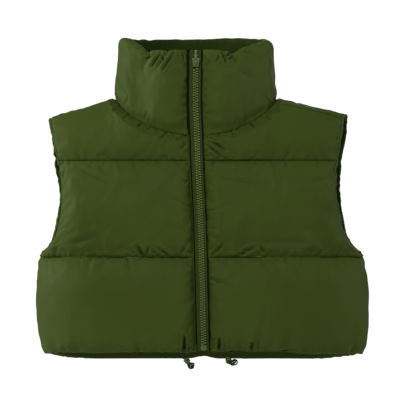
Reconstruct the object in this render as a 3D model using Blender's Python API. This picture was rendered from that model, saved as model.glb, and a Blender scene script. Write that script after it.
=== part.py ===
"""Cropped puffer vest, standing open as if worn: padded rows, stand collar, front zip and drawcord hem.

Metres, +Z up. The front faces -Y and the wearer's left side is +X. The origin is the middle of the neck at
shoulder height, where the wearer's shoulders carry the vest. Each padded piece is a wall over a plain inner
face that follows one body form; its outer face is raised over that by the padding, down to the seams.
"""

import math
from collections import namedtuple

import bmesh
import bpy
import numpy as np
from mathutils import Vector

# ---------------------------------------------------------------- driving dimensions (metres)
SEAM_GAP = 0.0003
CLOTH_AT_SEAM = 0.003  # two layers of shell, lining and flattened filling
CLOTH_AT_ARMHOLE = 0.004
CLOTH_AT_SIDE = 0.007

UPPER_SEAM = -0.0915  # height of the quilt seam across the chest
POCKET_SEAM = -0.2355  # height of the seam that holds the pockets
ARMHOLE_BOTTOM = -0.2265
HEM_FRONT = -0.3765
HEM_BACK = -0.3880
TUNNEL_HEIGHT = 0.012
TUNNEL_WALL = 0.0022

FORM_POWER = 2.5  # squareness of the horizontal sections, 2 is an ellipse
SQUIRCLE = 2 / FORM_POWER

NECK_HALF_WIDTH = 0.1175
NECK_HALF_DEPTH = 0.086
NECK_CENTRE_Y = -0.012
NECK_DROP_FRONT = 0.0545
NECK_RISE_BACK = 0.016
NECK_SIDE_HEIGHT = -0.003

SHOULDER_TIP_RIGHT = (-0.2170, -0.008, -0.0325)  # from the zip's middle line
SHOULDER_TIP_LEFT = (0.2185, -0.008, -0.0262)
SHOULDER_SHARE = 0.42  # of the yoke's lower edge lies under the shoulder seam

PAD_YOKE = 0.017
PAD_MIDDLE = 0.021
PAD_LOWER = 0.021
PAD_COLLAR = 0.0185
EDGE_ROUND_ZIP = 0.024  # width over which the padding rounds down to the zip
EDGE_ROUND_SIDE = 0.045
EDGE_ROUND_SHOULDER = 0.028  # the same, from the yokes to the armholes
SHOULDER_PAD_SHARE = 0.66  # of the yokes' padding is left over the shoulder
STEEPEST_AT_NECK = 0.65  # rise of the yoke's padding for each metre away from the neck seam

BINDING_RADIUS = 0.0026

ZIP_OPENING = 0.0086  # from the zip's middle line to the fronts' edges
TAPE_HALF_WIDTH = 0.0155
TAPE_THICKNESS = 0.001
TAPE_CLEARANCE = 0.0006
TEETH_HALF_WIDTH = 0.0041
TEETH_THICKNESS = 0.0026
TEETH_TOP = 0.0475
TAPE_TOP = 0.0735
TAPE_BOTTOM = -0.3745

SLIDER_HEIGHT = 0.0548
SLIDER_LENGTH = 0.0135
TAB_LENGTH = 0.0185
TAB_LEAN_DEG = 5.5  # the pull tab leans back against the slider

CORD_DIAMETER = 0.0020
CORD_STEP = 0.0026  # distance between the points of the cords' tubes
LOCK_LENGTH = 0.0070
LOCK_RADIUS = 0.0047
LOCK_HOLE = 0.0024

OUTWARD_FROM = Vector((0.0, 0.0, -0.16))  # a point inside the hollow

OLIVE = (0.045, 0.062, 0.017)
OLIVE_TRIM = (0.060, 0.080, 0.028)

# The body form: half-width at the side line, and half-depths in front and behind. The armhole columns say how
# far in front of and behind the side line the armhole's edges lie.
BodyRow = namedtuple("BodyRow", "height centre side front back armhole_front armhole_back")
BODY = [
    BodyRow(-0.3900, 0.0057, 0.2190, 0.1000, 0.1000, 0.0, 0.0),
    BodyRow(-0.3640, 0.0055, 0.2240, 0.1040, 0.1040, 0.0, 0.0),
    BodyRow(-0.3400, 0.0048, 0.2272, 0.1090, 0.1100, 0.0, 0.0),
    BodyRow(-0.3000, 0.0040, 0.2303, 0.1125, 0.1145, 0.0, 0.0),
    BodyRow(-0.2600, 0.0030, 0.2308, 0.1125, 0.1145, 0.0, 0.0),
    BodyRow(POCKET_SEAM, 0.0024, 0.2310, 0.1120, 0.1140, 0.0, 0.0),
    BodyRow(ARMHOLE_BOTTOM, 0.0022, 0.2302, 0.1118, 0.1138, 0.0, 0.0),
    BodyRow(-0.2253, 0.0021, 0.2300, 0.1117, 0.1137, 0.0135, 0.0135),
    BodyRow(-0.2225, 0.0021, 0.2296, 0.1115, 0.1136, 0.027, 0.0265),
    BodyRow(-0.2175, 0.0020, 0.2288, 0.1113, 0.1134, 0.040, 0.039),
    BodyRow(-0.2100, 0.0018, 0.2276, 0.1110, 0.1132, 0.050, 0.048),
    BodyRow(-0.1950, 0.0014, 0.2264, 0.1105, 0.1130, 0.057, 0.054),
    BodyRow(-0.1800, 0.0009, 0.2262, 0.1100, 0.1128, 0.060, 0.057),
    BodyRow(-0.1350, -0.0013, 0.2265, 0.1080, 0.1120, 0.0635, 0.0615),
    BodyRow(UPPER_SEAM, -0.0033, 0.2255, 0.1040, 0.1100, 0.0565, 0.0560),
    BodyRow(-0.0500, -0.0045, 0.2250, 0.0985, 0.1050, 0.05, 0.05),
]

# The collar: the zip's and collar's middle line above the neckline, and the front's depth there.
CollarRow = namedtuple("CollarRow", "height centre front")
COLLAR_LINE = [
    CollarRow(-0.0545, -0.0045, 0.0980),
    CollarRow(0.0000, -0.0066, 0.0972),
    CollarRow(0.0350, -0.0063, 0.0958),
    CollarRow(0.0750, -0.0060, 0.0935),
]

# Height of the collar's fold round the neck, as a share of the way from the zip (0) to the back (1).
CollarTop = namedtuple("CollarTop", "turn right left")
COLLAR_TOP = [
    CollarTop(0.00, 0.0735, 0.0740),
    CollarTop(0.06, 0.0735, 0.0735),
    CollarTop(0.09, 0.0700, 0.0715),
    CollarTop(0.12, 0.0735, 0.0672),
    CollarTop(0.155, 0.0725, 0.0722),
    CollarTop(0.18, 0.0695, 0.0760),
    CollarTop(0.24, 0.0790, 0.0805),
    CollarTop(0.32, 0.0880, 0.0838),
    CollarTop(0.40, 0.0920, 0.0885),
    CollarTop(0.50, 0.0925, 0.0880),
    CollarTop(0.62, 0.0905, 0.0925),
    CollarTop(0.80, 0.0912, 0.0925),
    CollarTop(1.00, 0.0918, 0.0918),
]

# Section of the collar from the neck seam (share 0) to the fold (share 1). "inset" is how far the inner face
# stands in from the neckline, "pad" the share of the padding there.
CollarSection = namedtuple("CollarSection", "share inset pad")
COLLAR_OUTSIDE = [
    CollarSection(0.07, 0.0055, 0.40),
    CollarSection(0.15, 0.0100, 0.72),
    CollarSection(0.26, 0.0140, 0.90),
    CollarSection(0.39, 0.0165, 1.00),
    CollarSection(0.53, 0.0180, 1.00),
    CollarSection(0.67, 0.0190, 1.00),
    CollarSection(0.80, 0.0195, 0.96),
    CollarSection(0.90, 0.0195, 0.86),
    CollarSection(0.97, 0.0195, 0.68),
    CollarSection(1.00, 0.0195, 0.45),
]
COLLAR_INSIDE = [
    CollarSection(0.975, 0.0195, 0.14),
    CollarSection(0.92, 0.0195, 0.0),
    CollarSection(0.70, 0.0190, 0.0),
    CollarSection(0.45, 0.0175, 0.0),
    CollarSection(0.22, 0.0130, 0.0),
    CollarSection(0.08, 0.0062, 0.0),
]

# A padded row from its lower seam (share 0) to its upper one (share 1): the share of the padding, and for the
# lowest row how far the filling hangs below its own height over the hem.
PadRow = namedtuple("PadRow", "share pad overhang")
PILLOW = [
    PadRow(0.00, 0.00, 0.0),
    PadRow(0.06, 0.40, 0.0),
    PadRow(0.14, 0.68, 0.0),
    PadRow(0.25, 0.88, 0.0),
    PadRow(0.38, 0.98, 0.0),
    PadRow(0.52, 1.00, 0.0),
    PadRow(0.66, 0.95, 0.0),
    PadRow(0.78, 0.82, 0.0),
    PadRow(0.88, 0.61, 0.0),
    PadRow(0.95, 0.36, 0.0),
    PadRow(1.00, 0.00, 0.0),
]
HEM_PILLOW = [
    PadRow(0.00, 0.00, 0.0),
    PadRow(0.03, 0.22, 0.0058),
    PadRow(0.07, 0.48, 0.0142),
    PadRow(0.13, 0.70, 0.0225),
    PadRow(0.21, 0.86, 0.0205),
    PadRow(0.32, 0.96, 0.0120),
    PadRow(0.45, 1.00, 0.0045),
    PadRow(0.60, 0.98, 0.0),
    PadRow(0.74, 0.88, 0.0),
    PadRow(0.86, 0.66, 0.0),
    PadRow(0.95, 0.36, 0.0),
    PadRow(1.00, 0.00, 0.0),
]

# Creases in the fronts and the back, pressed into the outer face along a straight line seen from the front.
Crease = namedtuple("Crease", "node x1 z1 x2 z2 depth width")
CREASES = [
    Crease("front_lower_right", -0.0220, -0.3400, -0.0240, -0.3760, 0.0060, 0.0050),
    Crease("front_lower_left", 0.0270, -0.3570, 0.0285, -0.3760, 0.0060, 0.0050),
    Crease("front_lower_left", 0.0740, -0.3620, 0.0720, -0.3760, 0.0050, 0.0060),
    Crease("front_lower_left", 0.0800, -0.3660, 0.1350, -0.3520, 0.0028, 0.0070),
    Crease("front_lower_right", -0.1050, -0.3590, -0.1400, -0.3660, 0.0028, 0.0080),
    Crease("front_middle_right", -0.0780, -0.2340, -0.0900, -0.2180, 0.0035, 0.0070),
    Crease("front_middle_right", -0.1750, -0.1050, -0.1300, -0.1300, 0.0020, 0.0100),
    Crease("front_middle_left", 0.0300, -0.1180, 0.1000, -0.1300, 0.0018, 0.0100),
    Crease("front_middle_left", 0.0500, -0.2120, 0.1500, -0.2150, 0.0022, 0.0090),
    Crease("front_yoke_right", -0.1200, -0.0120, -0.1330, -0.0300, 0.0035, 0.0060),
    Crease("front_yoke_right", -0.0820, -0.0320, -0.0980, -0.0460, 0.0030, 0.0060),
    Crease("front_yoke_left", 0.1080, -0.0130, 0.1180, -0.0320, 0.0035, 0.0060),
    Crease("front_yoke_left", 0.0700, -0.0330, 0.0860, -0.0480, 0.0030, 0.0060),
    Crease("front_yoke_left", 0.0120, -0.0620, 0.0380, -0.0780, 0.0020, 0.0070),
    Crease("back_lower", -0.0600, -0.3500, -0.0560, -0.3850, 0.0050, 0.0070),
    Crease("back_lower", 0.0450, -0.3550, 0.0480, -0.3850, 0.0050, 0.0070),
    Crease("back_lower", 0.1300, -0.3450, 0.1000, -0.3800, 0.0040, 0.0080),
    Crease("back_lower", -0.1300, -0.3500, -0.1150, -0.3820, 0.0040, 0.0080),
    Crease("back_middle", -0.1200, -0.1150, -0.0700, -0.1350, 0.0022, 0.0110),
    Crease("back_middle", 0.1100, -0.2150, 0.0300, -0.2100, 0.0022, 0.0110),
    Crease("back_yoke", -0.0900, -0.0100, -0.1100, -0.0350, 0.0030, 0.0080),
    Crease("back_yoke", 0.0850, -0.0100, 0.1050, -0.0350, 0.0030, 0.0080),
]

# Gathers pinched into the collar's fold: where they start on the fold, where they end, and how deep they are.
Gather = namedtuple("Gather", "side turn_top turn_end share_end depth width")
COLLAR_GATHERS = [
    Gather(-1, 0.178, 0.215, 0.72, 0.0075, 0.016),
    Gather(-1, 0.092, 0.130, 0.75, 0.0070, 0.014),
    Gather(1, 0.122, 0.160, 0.78, 0.0085, 0.018),
    Gather(1, 0.420, 0.440, 0.70, 0.0040, 0.030),
    Gather(-1, 0.560, 0.600, 0.70, 0.0040, 0.030),
    Gather(-1, 0.860, 0.840, 0.68, 0.0040, 0.030),
    Gather(1, 0.760, 0.790, 0.66, 0.0035, 0.030),
]

# Shares of each panel's width where its columns stand, closer together beside the zip.
FRONT_COLUMNS = (0, 0.022, 0.052, 0.09, 0.135, 0.19, 0.25, 0.315, 0.385, 0.46, 0.54, 0.62, 0.70, 0.78, 0.86, 0.94, 1)
BACK_HALF_COLUMNS = tuple(k / 14 for k in range(15))
NECK_COLUMNS = 16
NECK_BACK_COLUMNS = 8
SHOULDER_COLUMNS = 6
YOKE_ROWS = (0, 0.07, 0.17, 0.30, 0.44, 0.58, 0.72, 0.85, 0.94, 1)


# ---------------------------------------------------------------- reading the tables
def tangents(heights, values):
    """Slopes for a smooth curve through table rows, limited so that it never overshoots."""
    steps = np.diff(values) / np.diff(heights)
    slopes = np.concatenate([steps[:1], (steps[1:] + steps[:-1]) / 2, steps[-1:]])
    for k in range(1, len(steps)):
        if steps[k - 1] * steps[k] <= 0:
            slopes[k] = 0
        else:
            slopes[k] = math.copysign(min(abs(slopes[k]), 3 * abs(steps[k]), 3 * abs(steps[k - 1])), slopes[k])
    return slopes


def read(table, key, column, at):
    """The value of one column of a table at any place along its key column, on a smooth curve."""
    keys = np.array([getattr(row, key) for row in table])
    values = np.array([getattr(row, column) for row in table])
    slopes = tangents(keys, values)
    at = min(max(at, keys[0]), keys[-1])
    k = min(int(np.searchsorted(keys, at, side="right")) - 1, len(keys) - 2)
    span = keys[k + 1] - keys[k]
    t = (at - keys[k]) / span
    return (
        values[k] * (1 + 2 * t) * (1 - t) ** 2
        + slopes[k] * span * t * (1 - t) ** 2
        + values[k + 1] * t * t * (3 - 2 * t)
        - slopes[k + 1] * span * t * t * (1 - t)
    )


def body(column, height):
    return read(BODY, "height", column, height)


def centre_line(height):
    """X of the zip's middle line, which leans a little."""
    if height > COLLAR_LINE[0].height:
        return read(COLLAR_LINE, "height", "centre", height)
    return body("centre", height)


def zip_depth(height):
    """How far in front of the side line the inner face of the fronts lies beside the zip."""
    if height > COLLAR_LINE[0].height:
        return read(COLLAR_LINE, "height", "front", height)
    if height > UPPER_SEAM:
        share = (height - UPPER_SEAM) / (COLLAR_LINE[0].height - UPPER_SEAM)
        return body("front", UPPER_SEAM) * (1 - share) + COLLAR_LINE[0].front * share
    return body("front", height)


def smooth_step(low, high, value):
    t = min(max((value - low) / (high - low), 0), 1)
    return t * t * (3 - 2 * t)


def along(points, shares):
    """Points at the given shares of a polyline's length."""
    points = np.asarray(points)
    lengths = np.concatenate([[0], np.cumsum(np.linalg.norm(np.diff(points, axis=0), axis=1))])
    lengths /= lengths[-1]
    return np.stack([np.interp(shares, lengths, points[:, k]) for k in range(3)], axis=-1)


def unit(vectors):
    return vectors / np.linalg.norm(vectors, axis=-1, keepdims=True)


# ---------------------------------------------------------------- the body form
def body_point(side, angle, height):
    """A point of the inner face: angle 0 at the zip, 90 at the side line, 180 at the middle of the back."""
    turn = math.radians(angle)
    across = abs(math.sin(turn)) ** SQUIRCLE
    deep = abs(math.cos(turn)) ** SQUIRCLE
    x = centre_line(height) + side * body("side", height) * across
    y = -body("front", height) * deep if angle < 90 else body("back", height) * deep
    return (x, y, height)


def angle_at_depth(depth, half_depth):
    return math.degrees(math.acos((depth / half_depth) ** (1 / SQUIRCLE)))


def front_row(side, height, shares, height_at=None):
    """A row of a front's inner face, from the zip's opening to the armhole's edge or the side seam."""
    start = math.degrees(math.asin((ZIP_OPENING / body("side", height)) ** (1 / SQUIRCLE)))
    end = angle_at_depth(body("armhole_front", height), body("front", height))
    angles = np.linspace(start, end, 90)
    rise = height_at or (lambda angle: height)
    return along([body_point(side, a, rise(a)) for a in angles], shares)


def back_row(height, half_shares, height_at=None):
    """A row of the back's inner face, from the right armhole or side seam to the left one."""
    end = 180 - angle_at_depth(body("armhole_back", height), body("back", height))
    angles = np.linspace(180, end, 90)
    rise = height_at or (lambda angle: height)
    halves = [along([body_point(side, a, rise(a)) for a in angles], half_shares) for side in (-1, 1)]
    return np.concatenate([halves[0][:0:-1], halves[1]])


def hem_height(angle):
    """Height of the hem's lower edge, which drops from the side seams to the back."""
    return HEM_FRONT + (HEM_BACK - HEM_FRONT) * smooth_step(70, 130, angle)


# ---------------------------------------------------------------- neckline and shoulder
def neck_point(side, angle):
    """The neckline: angle 0 at the zip, 90 at the shoulder seam, 180 at the middle of the back."""
    turn = math.radians(angle)
    across = abs(math.sin(turn)) ** SQUIRCLE
    deep = abs(math.cos(turn)) ** SQUIRCLE
    flat = (1 - across**2) ** 0.8
    z = NECK_SIDE_HEIGHT + flat * (-NECK_DROP_FRONT - NECK_SIDE_HEIGHT if angle < 90 else NECK_RISE_BACK)
    y = NECK_CENTRE_Y + NECK_HALF_DEPTH * (-deep if angle < 90 else deep)
    return (centre_line(z) + side * NECK_HALF_WIDTH * across, y, z)


def neck_angles():
    """Angles of the neckline's columns from the zip to the back, finer beside the zip."""
    start = math.degrees(math.asin((ZIP_OPENING / NECK_HALF_WIDTH) ** (1 / SQUIRCLE)))
    fine = np.linspace(start, 90, 400)
    path = np.array([neck_point(1, a) for a in fine])
    lengths = np.concatenate([[0], np.cumsum(np.linalg.norm(np.diff(path, axis=0), axis=1))])
    shares = [(k / NECK_COLUMNS) ** 1.2 for k in range(NECK_COLUMNS + 1)]
    front = np.interp(np.array(shares) * lengths[-1], lengths, fine)
    fine = np.linspace(90, 180, 200)
    path = np.array([neck_point(1, a) for a in fine])
    lengths = np.concatenate([[0], np.cumsum(np.linalg.norm(np.diff(path, axis=0), axis=1))])
    back = np.interp(np.linspace(0, lengths[-1], NECK_BACK_COLUMNS + 1), lengths, fine)
    return list(front), list(back)


NECK_FRONT_ANGLES, NECK_BACK_ANGLES = neck_angles()


def neck_outward(side, angle):
    """Level unit vector away from the neck, square to the neckline's plan."""
    turn = math.radians(angle)
    across = abs(math.sin(turn)) ** (SQUIRCLE * (FORM_POWER - 1)) / NECK_HALF_WIDTH
    deep = abs(math.cos(turn)) ** (SQUIRCLE * (FORM_POWER - 1)) / NECK_HALF_DEPTH
    return unit(np.array([side * across, -deep if angle < 90 else deep, 0.0]))


def neck_seam_turn(angle):
    """Tilt of the neck seam's plane: the yoke lies flatter at the shoulder than in front."""
    front = 12 + (40 - 12) * smooth_step(20, 90, angle)
    return math.radians(front if angle < 90 else 40 + (25 - 40) * smooth_step(90, 180, angle))


def neck_mitre(side, angle):
    """The seam's direction through the cloth, shared by the yoke and the collar, and the way to the collar."""
    tilt = neck_seam_turn(angle)
    outward = neck_outward(side, angle)
    up = np.array([0.0, 0.0, 1.0])
    through = math.cos(tilt) * outward + math.sin(tilt) * up
    to_collar = -math.sin(tilt) * outward + math.cos(tilt) * up
    return through, to_collar


def shoulder_points(side):
    neck = np.array(neck_point(side, 90))
    tip = np.array(SHOULDER_TIP_RIGHT if side < 0 else SHOULDER_TIP_LEFT)
    tip[0] += centre_line(tip[2])
    return np.linspace(neck, tip, SHOULDER_COLUMNS + 1)


def shoulder_normal(side):
    seam = shoulder_points(side)
    run = seam[-1] - seam[0]
    return unit(np.cross(run, np.array([0.0, 1.0, 0.0])) * side * np.array([1, 0, 1]))


# ---------------------------------------------------------------- meshes
def material(name, colour, roughness, metallic=0.0):
    finish = bpy.data.materials.new(name)
    finish.use_nodes = True
    shader = finish.node_tree.nodes["Principled BSDF"]
    shader.inputs["Base Color"].default_value = (*colour, 1)
    shader.inputs["Roughness"].default_value = roughness
    shader.inputs["Metallic"].default_value = metallic
    finish.diffuse_color = (*colour, 1)
    return finish


def add_object(name, bm, colour=OLIVE, roughness=0.6, sharp_deg=50):
    """Turns a closed bmesh into the named object, facing out and shaded smooth."""
    bmesh.ops.recalc_face_normals(bm, faces=bm.faces)
    mesh = bpy.data.meshes.new(name)
    bm.to_mesh(mesh)
    bm.free()
    mesh.shade_smooth()
    mesh.set_sharp_from_angle(angle=math.radians(sharp_deg))
    obj = bpy.data.objects.new(name, mesh)
    bpy.context.scene.collection.objects.link(obj)
    mesh.materials.append(material(name, colour, roughness))
    return obj


def wall(name, inner, outer, row_step=1, column_step=1):
    """A closed wall between two grids of points. The plain inner face may use every second row or column."""
    bm = bmesh.new()
    rows, columns = outer.shape[:2]
    outside = [[bm.verts.new(p) for p in row] for row in outer]
    picked_rows = sorted({*range(0, rows, row_step), rows - 1})
    picked_columns = sorted({*range(0, columns, column_step), columns - 1})
    inside = {(r, c): bm.verts.new(inner[r, c]) for r in picked_rows for c in picked_columns}
    for r in range(rows - 1):
        for c in range(columns - 1):
            bm.faces.new((outside[r][c], outside[r][c + 1], outside[r + 1][c + 1], outside[r + 1][c]))
    for r1, r2 in zip(picked_rows, picked_rows[1:]):
        for c1, c2 in zip(picked_columns, picked_columns[1:]):
            bm.faces.new((inside[r1, c1], inside[r2, c1], inside[r2, c2], inside[r1, c2]))
    for r in (0, rows - 1):
        for c1, c2 in zip(picked_columns, picked_columns[1:]):
            bm.faces.new([outside[r][c] for c in range(c1, c2 + 1)] + [inside[r, c2], inside[r, c1]])
    for c in (0, columns - 1):
        for r1, r2 in zip(picked_rows, picked_rows[1:]):
            bm.faces.new([outside[r][c] for r in range(r1, r2 + 1)] + [inside[r2, c], inside[r1, c]])
    bmesh.ops.triangulate(bm, faces=[f for f in bm.faces if len(f.verts) > 4])
    return add_object(name, bm)


def closed_loft(rings, closed=False):
    """A closed bmesh through rings of points; open ends are capped."""
    bm = bmesh.new()
    loops = [[bm.verts.new(p) for p in ring] for ring in rings]
    pairs = list(zip(loops, loops[1:])) + ([(loops[-1], loops[0])] if closed else [])
    for one, two in pairs:
        for k in range(len(one)):
            m = (k + 1) % len(one)
            bm.faces.new((one[k], one[m], two[m], two[k]))
    if not closed:
        bm.faces.new(loops[0])
        bm.faces.new(loops[-1])
    bmesh.ops.recalc_face_normals(bm, faces=bm.faces)
    return bm


def loft(name, rings, closed=False, **finish):
    return add_object(name, closed_loft(rings, closed), **finish)


def grid_normals(points):
    """Unit normals of a grid of points, away from the hollow."""
    down = np.gradient(points, axis=0)
    across = np.gradient(points, axis=1)
    normals = unit(np.cross(across, down))
    facing = np.sum(normals * (points - np.array(OUTWARD_FROM)), axis=-1, keepdims=True)
    return normals * np.where(facing < 0, -1, 1)


def level(normals):
    """The same normals laid level, for the edge at a level seam."""
    return unit(normals * np.array([1.0, 1.0, 0.0]))


def edge_round(distances, width):
    """Rises from 0 at an edge to 1 at the given width from it, as a quarter circle does."""
    inward = np.clip(1 - np.asarray(distances) / width, 0, 1)
    return np.sqrt(1 - inward**2)


def row_distances(points):
    """Distance of each point of a grid from its row's first and last points, along the row."""
    steps = np.linalg.norm(np.diff(points, axis=1), axis=-1)
    first = np.concatenate([np.zeros((len(points), 1)), np.cumsum(steps, axis=1)], axis=1)
    return first, first[:, -1:] - first


def crease_depth(name, points):
    """How deep the creases of one node press at each point, by distance from their lines."""
    depth = np.zeros(points.shape[:2])
    for crease in CREASES:
        if crease.node != name:
            continue
        start = np.array([crease.x1, crease.z1])
        run = np.array([crease.x2, crease.z2]) - start
        flat = points[..., [0, 2]] - start
        share = np.clip(flat @ run / (run @ run), 0, 1)
        away = np.linalg.norm(flat - share[..., None] * run, axis=-1)
        fade = np.sin(math.pi * (0.15 + 0.7 * share))
        depth = np.maximum(depth, crease.depth * fade * np.exp(-((away / crease.width) ** 2)))
    return depth


def padded(name, inner, normals, thickness, pillow):
    """Outer grid: the inner one moved out by the padding, hung lower where the pillow overhangs."""
    thickness = np.maximum(thickness - crease_depth(name, inner), 0.6 * thickness.min())
    outer = inner + normals * thickness[..., None]
    full = thickness.max()
    for r, row in enumerate(pillow):
        outer[r, :, 2] -= row.overhang * np.clip(thickness[r] / (full * max(row.pad, 0.2)), 0, 1)
    return outer


def shift(inner, outer, rows, columns, offset):
    inner[rows, columns] += offset
    outer[rows, columns] += offset


# ---------------------------------------------------------------- padded rows
def row_heights(pillow, low, high):
    return [low + row.share * (high - low) for row in pillow]


def with_armhole(heights):
    """Swaps rows into the middle panels so that their edges turn round the foot of the armhole."""
    turns = [row.height for row in BODY if ARMHOLE_BOTTOM <= row.height <= -0.195]
    return [heights[0], *turns, *[h for h in heights if h > turns[-1] + 0.012]]


def pillow_at(shares):
    return [PadRow(s, read(PILLOW, "share", "pad", s), 0.0) for s in shares]


MIDDLE_HEIGHTS = with_armhole(row_heights(PILLOW, POCKET_SEAM, UPPER_SEAM))
MIDDLE_PILLOW = pillow_at([(h - POCKET_SEAM) / (UPPER_SEAM - POCKET_SEAM) for h in MIDDLE_HEIGHTS])


def panel_thickness(inner, pillow, pad, at_first, at_last, round_first, round_last):
    """Wall thickness over a panel: seams thin, the middle of the row full."""
    first, last = row_distances(inner)
    rise = np.array([row.pad for row in pillow])[:, None]
    rounding = edge_round(first, round_first) * edge_round(last, round_last)
    near_last = smooth_step_array(1 - last / (round_last * 1.5))
    near_first = smooth_step_array(1 - first / (round_first * 1.5))
    edge = CLOTH_AT_SEAM + (at_last - CLOTH_AT_SEAM) * near_last + (at_first - CLOTH_AT_SEAM) * near_first
    return edge + (pad - CLOTH_AT_SEAM) * rise * rounding


def smooth_step_array(values):
    t = np.clip(values, 0, 1)
    return t * t * (3 - 2 * t)


def seam_shifts(inner, outer, below=True, above=True):
    """Opens the level seams by half the seam gap on each side."""
    if below:
        shift(inner, outer, 0, slice(None), (0, 0, SEAM_GAP / 2))
    if above:
        shift(inner, outer, -1, slice(None), (0, 0, -SEAM_GAP / 2))


def front_panel(name, side, inner, pillow, pad, at_side, round_side):
    normals = grid_normals(inner)
    normals[[0, -1]] = level(normals[[0, -1]])
    normals[:, 0] = unit(normals[:, 0] * np.array([0.0, 1.0, 0.0]))
    thickness = panel_thickness(inner, pillow, pad, CLOTH_AT_SEAM, at_side, EDGE_ROUND_ZIP, round_side)
    outer = padded(name, inner, normals, thickness, pillow)
    seam_shifts(inner, outer)
    return normals, outer


def make_front_lower(side, name):
    def low(angle):
        return hem_height(angle) + TUNNEL_HEIGHT

    rows = []
    for row in HEM_PILLOW:
        middle = low(0) + row.share * (POCKET_SEAM - low(0))
        rise = lambda a, s=row.share: low(a) + s * (POCKET_SEAM - low(a))
        rows.append(front_row(side, middle, FRONT_COLUMNS, rise))
    inner = np.array(rows)
    _, outer = front_panel(name, side, inner, HEM_PILLOW, PAD_LOWER, CLOTH_AT_SIDE, EDGE_ROUND_SIDE)
    shift(inner, outer, slice(None), -1, (0, -SEAM_GAP / 2, 0))
    wall(name, inner, outer, row_step=2, column_step=2)


def make_front_middle(side, name):
    inner = np.array([front_row(side, h, FRONT_COLUMNS) for h in MIDDLE_HEIGHTS])
    _, outer = front_panel(name, side, inner, MIDDLE_PILLOW, PAD_MIDDLE, CLOTH_AT_ARMHOLE, EDGE_ROUND_SIDE)
    below = [k for k, h in enumerate(MIDDLE_HEIGHTS) if h <= ARMHOLE_BOTTOM]
    shift(inner, outer, below, -1, (0, -SEAM_GAP / 2, 0))
    wall(name, inner, outer, column_step=2)
    return inner[below[-1] :, -1], outer[below[-1] :, -1]


def make_back_lower():
    name = "back_lower"

    def low(angle):
        return hem_height(angle) + TUNNEL_HEIGHT

    rows = []
    for row in HEM_PILLOW:
        middle = low(180) + row.share * (POCKET_SEAM - low(180))
        rise = lambda a, s=row.share: low(a) + s * (POCKET_SEAM - low(a))
        rows.append(back_row(middle, BACK_HALF_COLUMNS, rise))
    inner = np.array(rows)
    outer = back_panel(name, inner, HEM_PILLOW, PAD_LOWER, CLOTH_AT_SIDE)
    shift(inner, outer, slice(None), [0, -1], (0, SEAM_GAP / 2, 0))
    wall(name, inner, outer, row_step=2, column_step=2)


def back_panel(name, inner, pillow, pad, at_side):
    normals = grid_normals(inner)
    normals[[0, -1]] = level(normals[[0, -1]])
    thickness = panel_thickness(inner, pillow, pad, at_side, at_side, EDGE_ROUND_SIDE, EDGE_ROUND_SIDE)
    outer = padded(name, inner, normals, thickness, pillow)
    seam_shifts(inner, outer)
    return outer


def make_back_middle():
    name = "back_middle"
    inner = np.array([back_row(h, BACK_HALF_COLUMNS) for h in MIDDLE_HEIGHTS])
    outer = back_panel(name, inner, MIDDLE_PILLOW, PAD_MIDDLE, CLOTH_AT_ARMHOLE)
    below = [k for k, h in enumerate(MIDDLE_HEIGHTS) if h <= ARMHOLE_BOTTOM]
    for column in (0, -1):
        shift(inner, outer, below, column, (0, SEAM_GAP / 2, 0))
    wall(name, inner, outer)
    edges = {}
    for side, column in ((-1, 0), (1, -1)):
        edges[side] = (inner[below[-1] :, column], outer[below[-1] :, column])
    return edges


# ---------------------------------------------------------------- yokes
def yoke_columns(low_row, top_row, squareness):
    """Columns that leave the chest seam upright and come over the shoulder as a quarter ellipse."""
    grid = np.empty((len(YOKE_ROWS), *low_row.shape))
    for r, share in enumerate(YOKE_ROWS):
        turn = share * math.pi / 2
        round_in = 1 - math.cos(turn)
        round_up = math.sin(turn)
        mix_in = squareness * round_in + (1 - squareness) * share
        mix_up = squareness * round_up + (1 - squareness) * share
        grid[r, :, 0] = low_row[:, 0] + (top_row[:, 0] - low_row[:, 0]) * mix_up
        grid[r, :, 1] = low_row[:, 1] + (top_row[:, 1] - low_row[:, 1]) * mix_in
        grid[r, :, 2] = low_row[:, 2] + (top_row[:, 2] - low_row[:, 2]) * mix_up
    return grid


def half_yoke(side, angles, low_points):
    """One side's yoke columns from the zip or the back's middle to the armhole, and their seam directions."""
    neck = np.array([neck_point(side, a) for a in angles])
    shoulder = shoulder_points(side)
    top = np.concatenate([neck, shoulder[1:]])
    lengths = np.concatenate([[0], np.cumsum(np.linalg.norm(np.diff(neck, axis=0), axis=1))])
    shares = np.concatenate(
        [
            lengths / lengths[-1] * (1 - SHOULDER_SHARE),
            1 - SHOULDER_SHARE + SHOULDER_SHARE * np.arange(1, SHOULDER_COLUMNS + 1) / SHOULDER_COLUMNS,
        ]
    )
    low = along(low_points, shares)
    squareness = np.clip(0.35 + 0.65 * shares / (1 - SHOULDER_SHARE), 0, 1)
    inner = yoke_columns(low, top, squareness)
    seams = [neck_mitre(side, a) for a in angles]
    through = np.array([s[0] for s in seams] + [shoulder_normal(side)] * SHOULDER_COLUMNS)
    to_collar = np.array([s[1] for s in seams] + [np.zeros(3)] * SHOULDER_COLUMNS)
    return inner, through, to_collar


def lean_from_collar(normals, through):
    """Turns a yoke's normals near its top edge toward the seam's direction, so that the padding clears the collar."""
    for r, share in enumerate(YOKE_ROWS):
        turn = smooth_step(0.35, 1.0, share)
        normals[r] = unit(normals[r] * (1 - turn) + through * turn)
    return normals


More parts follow.
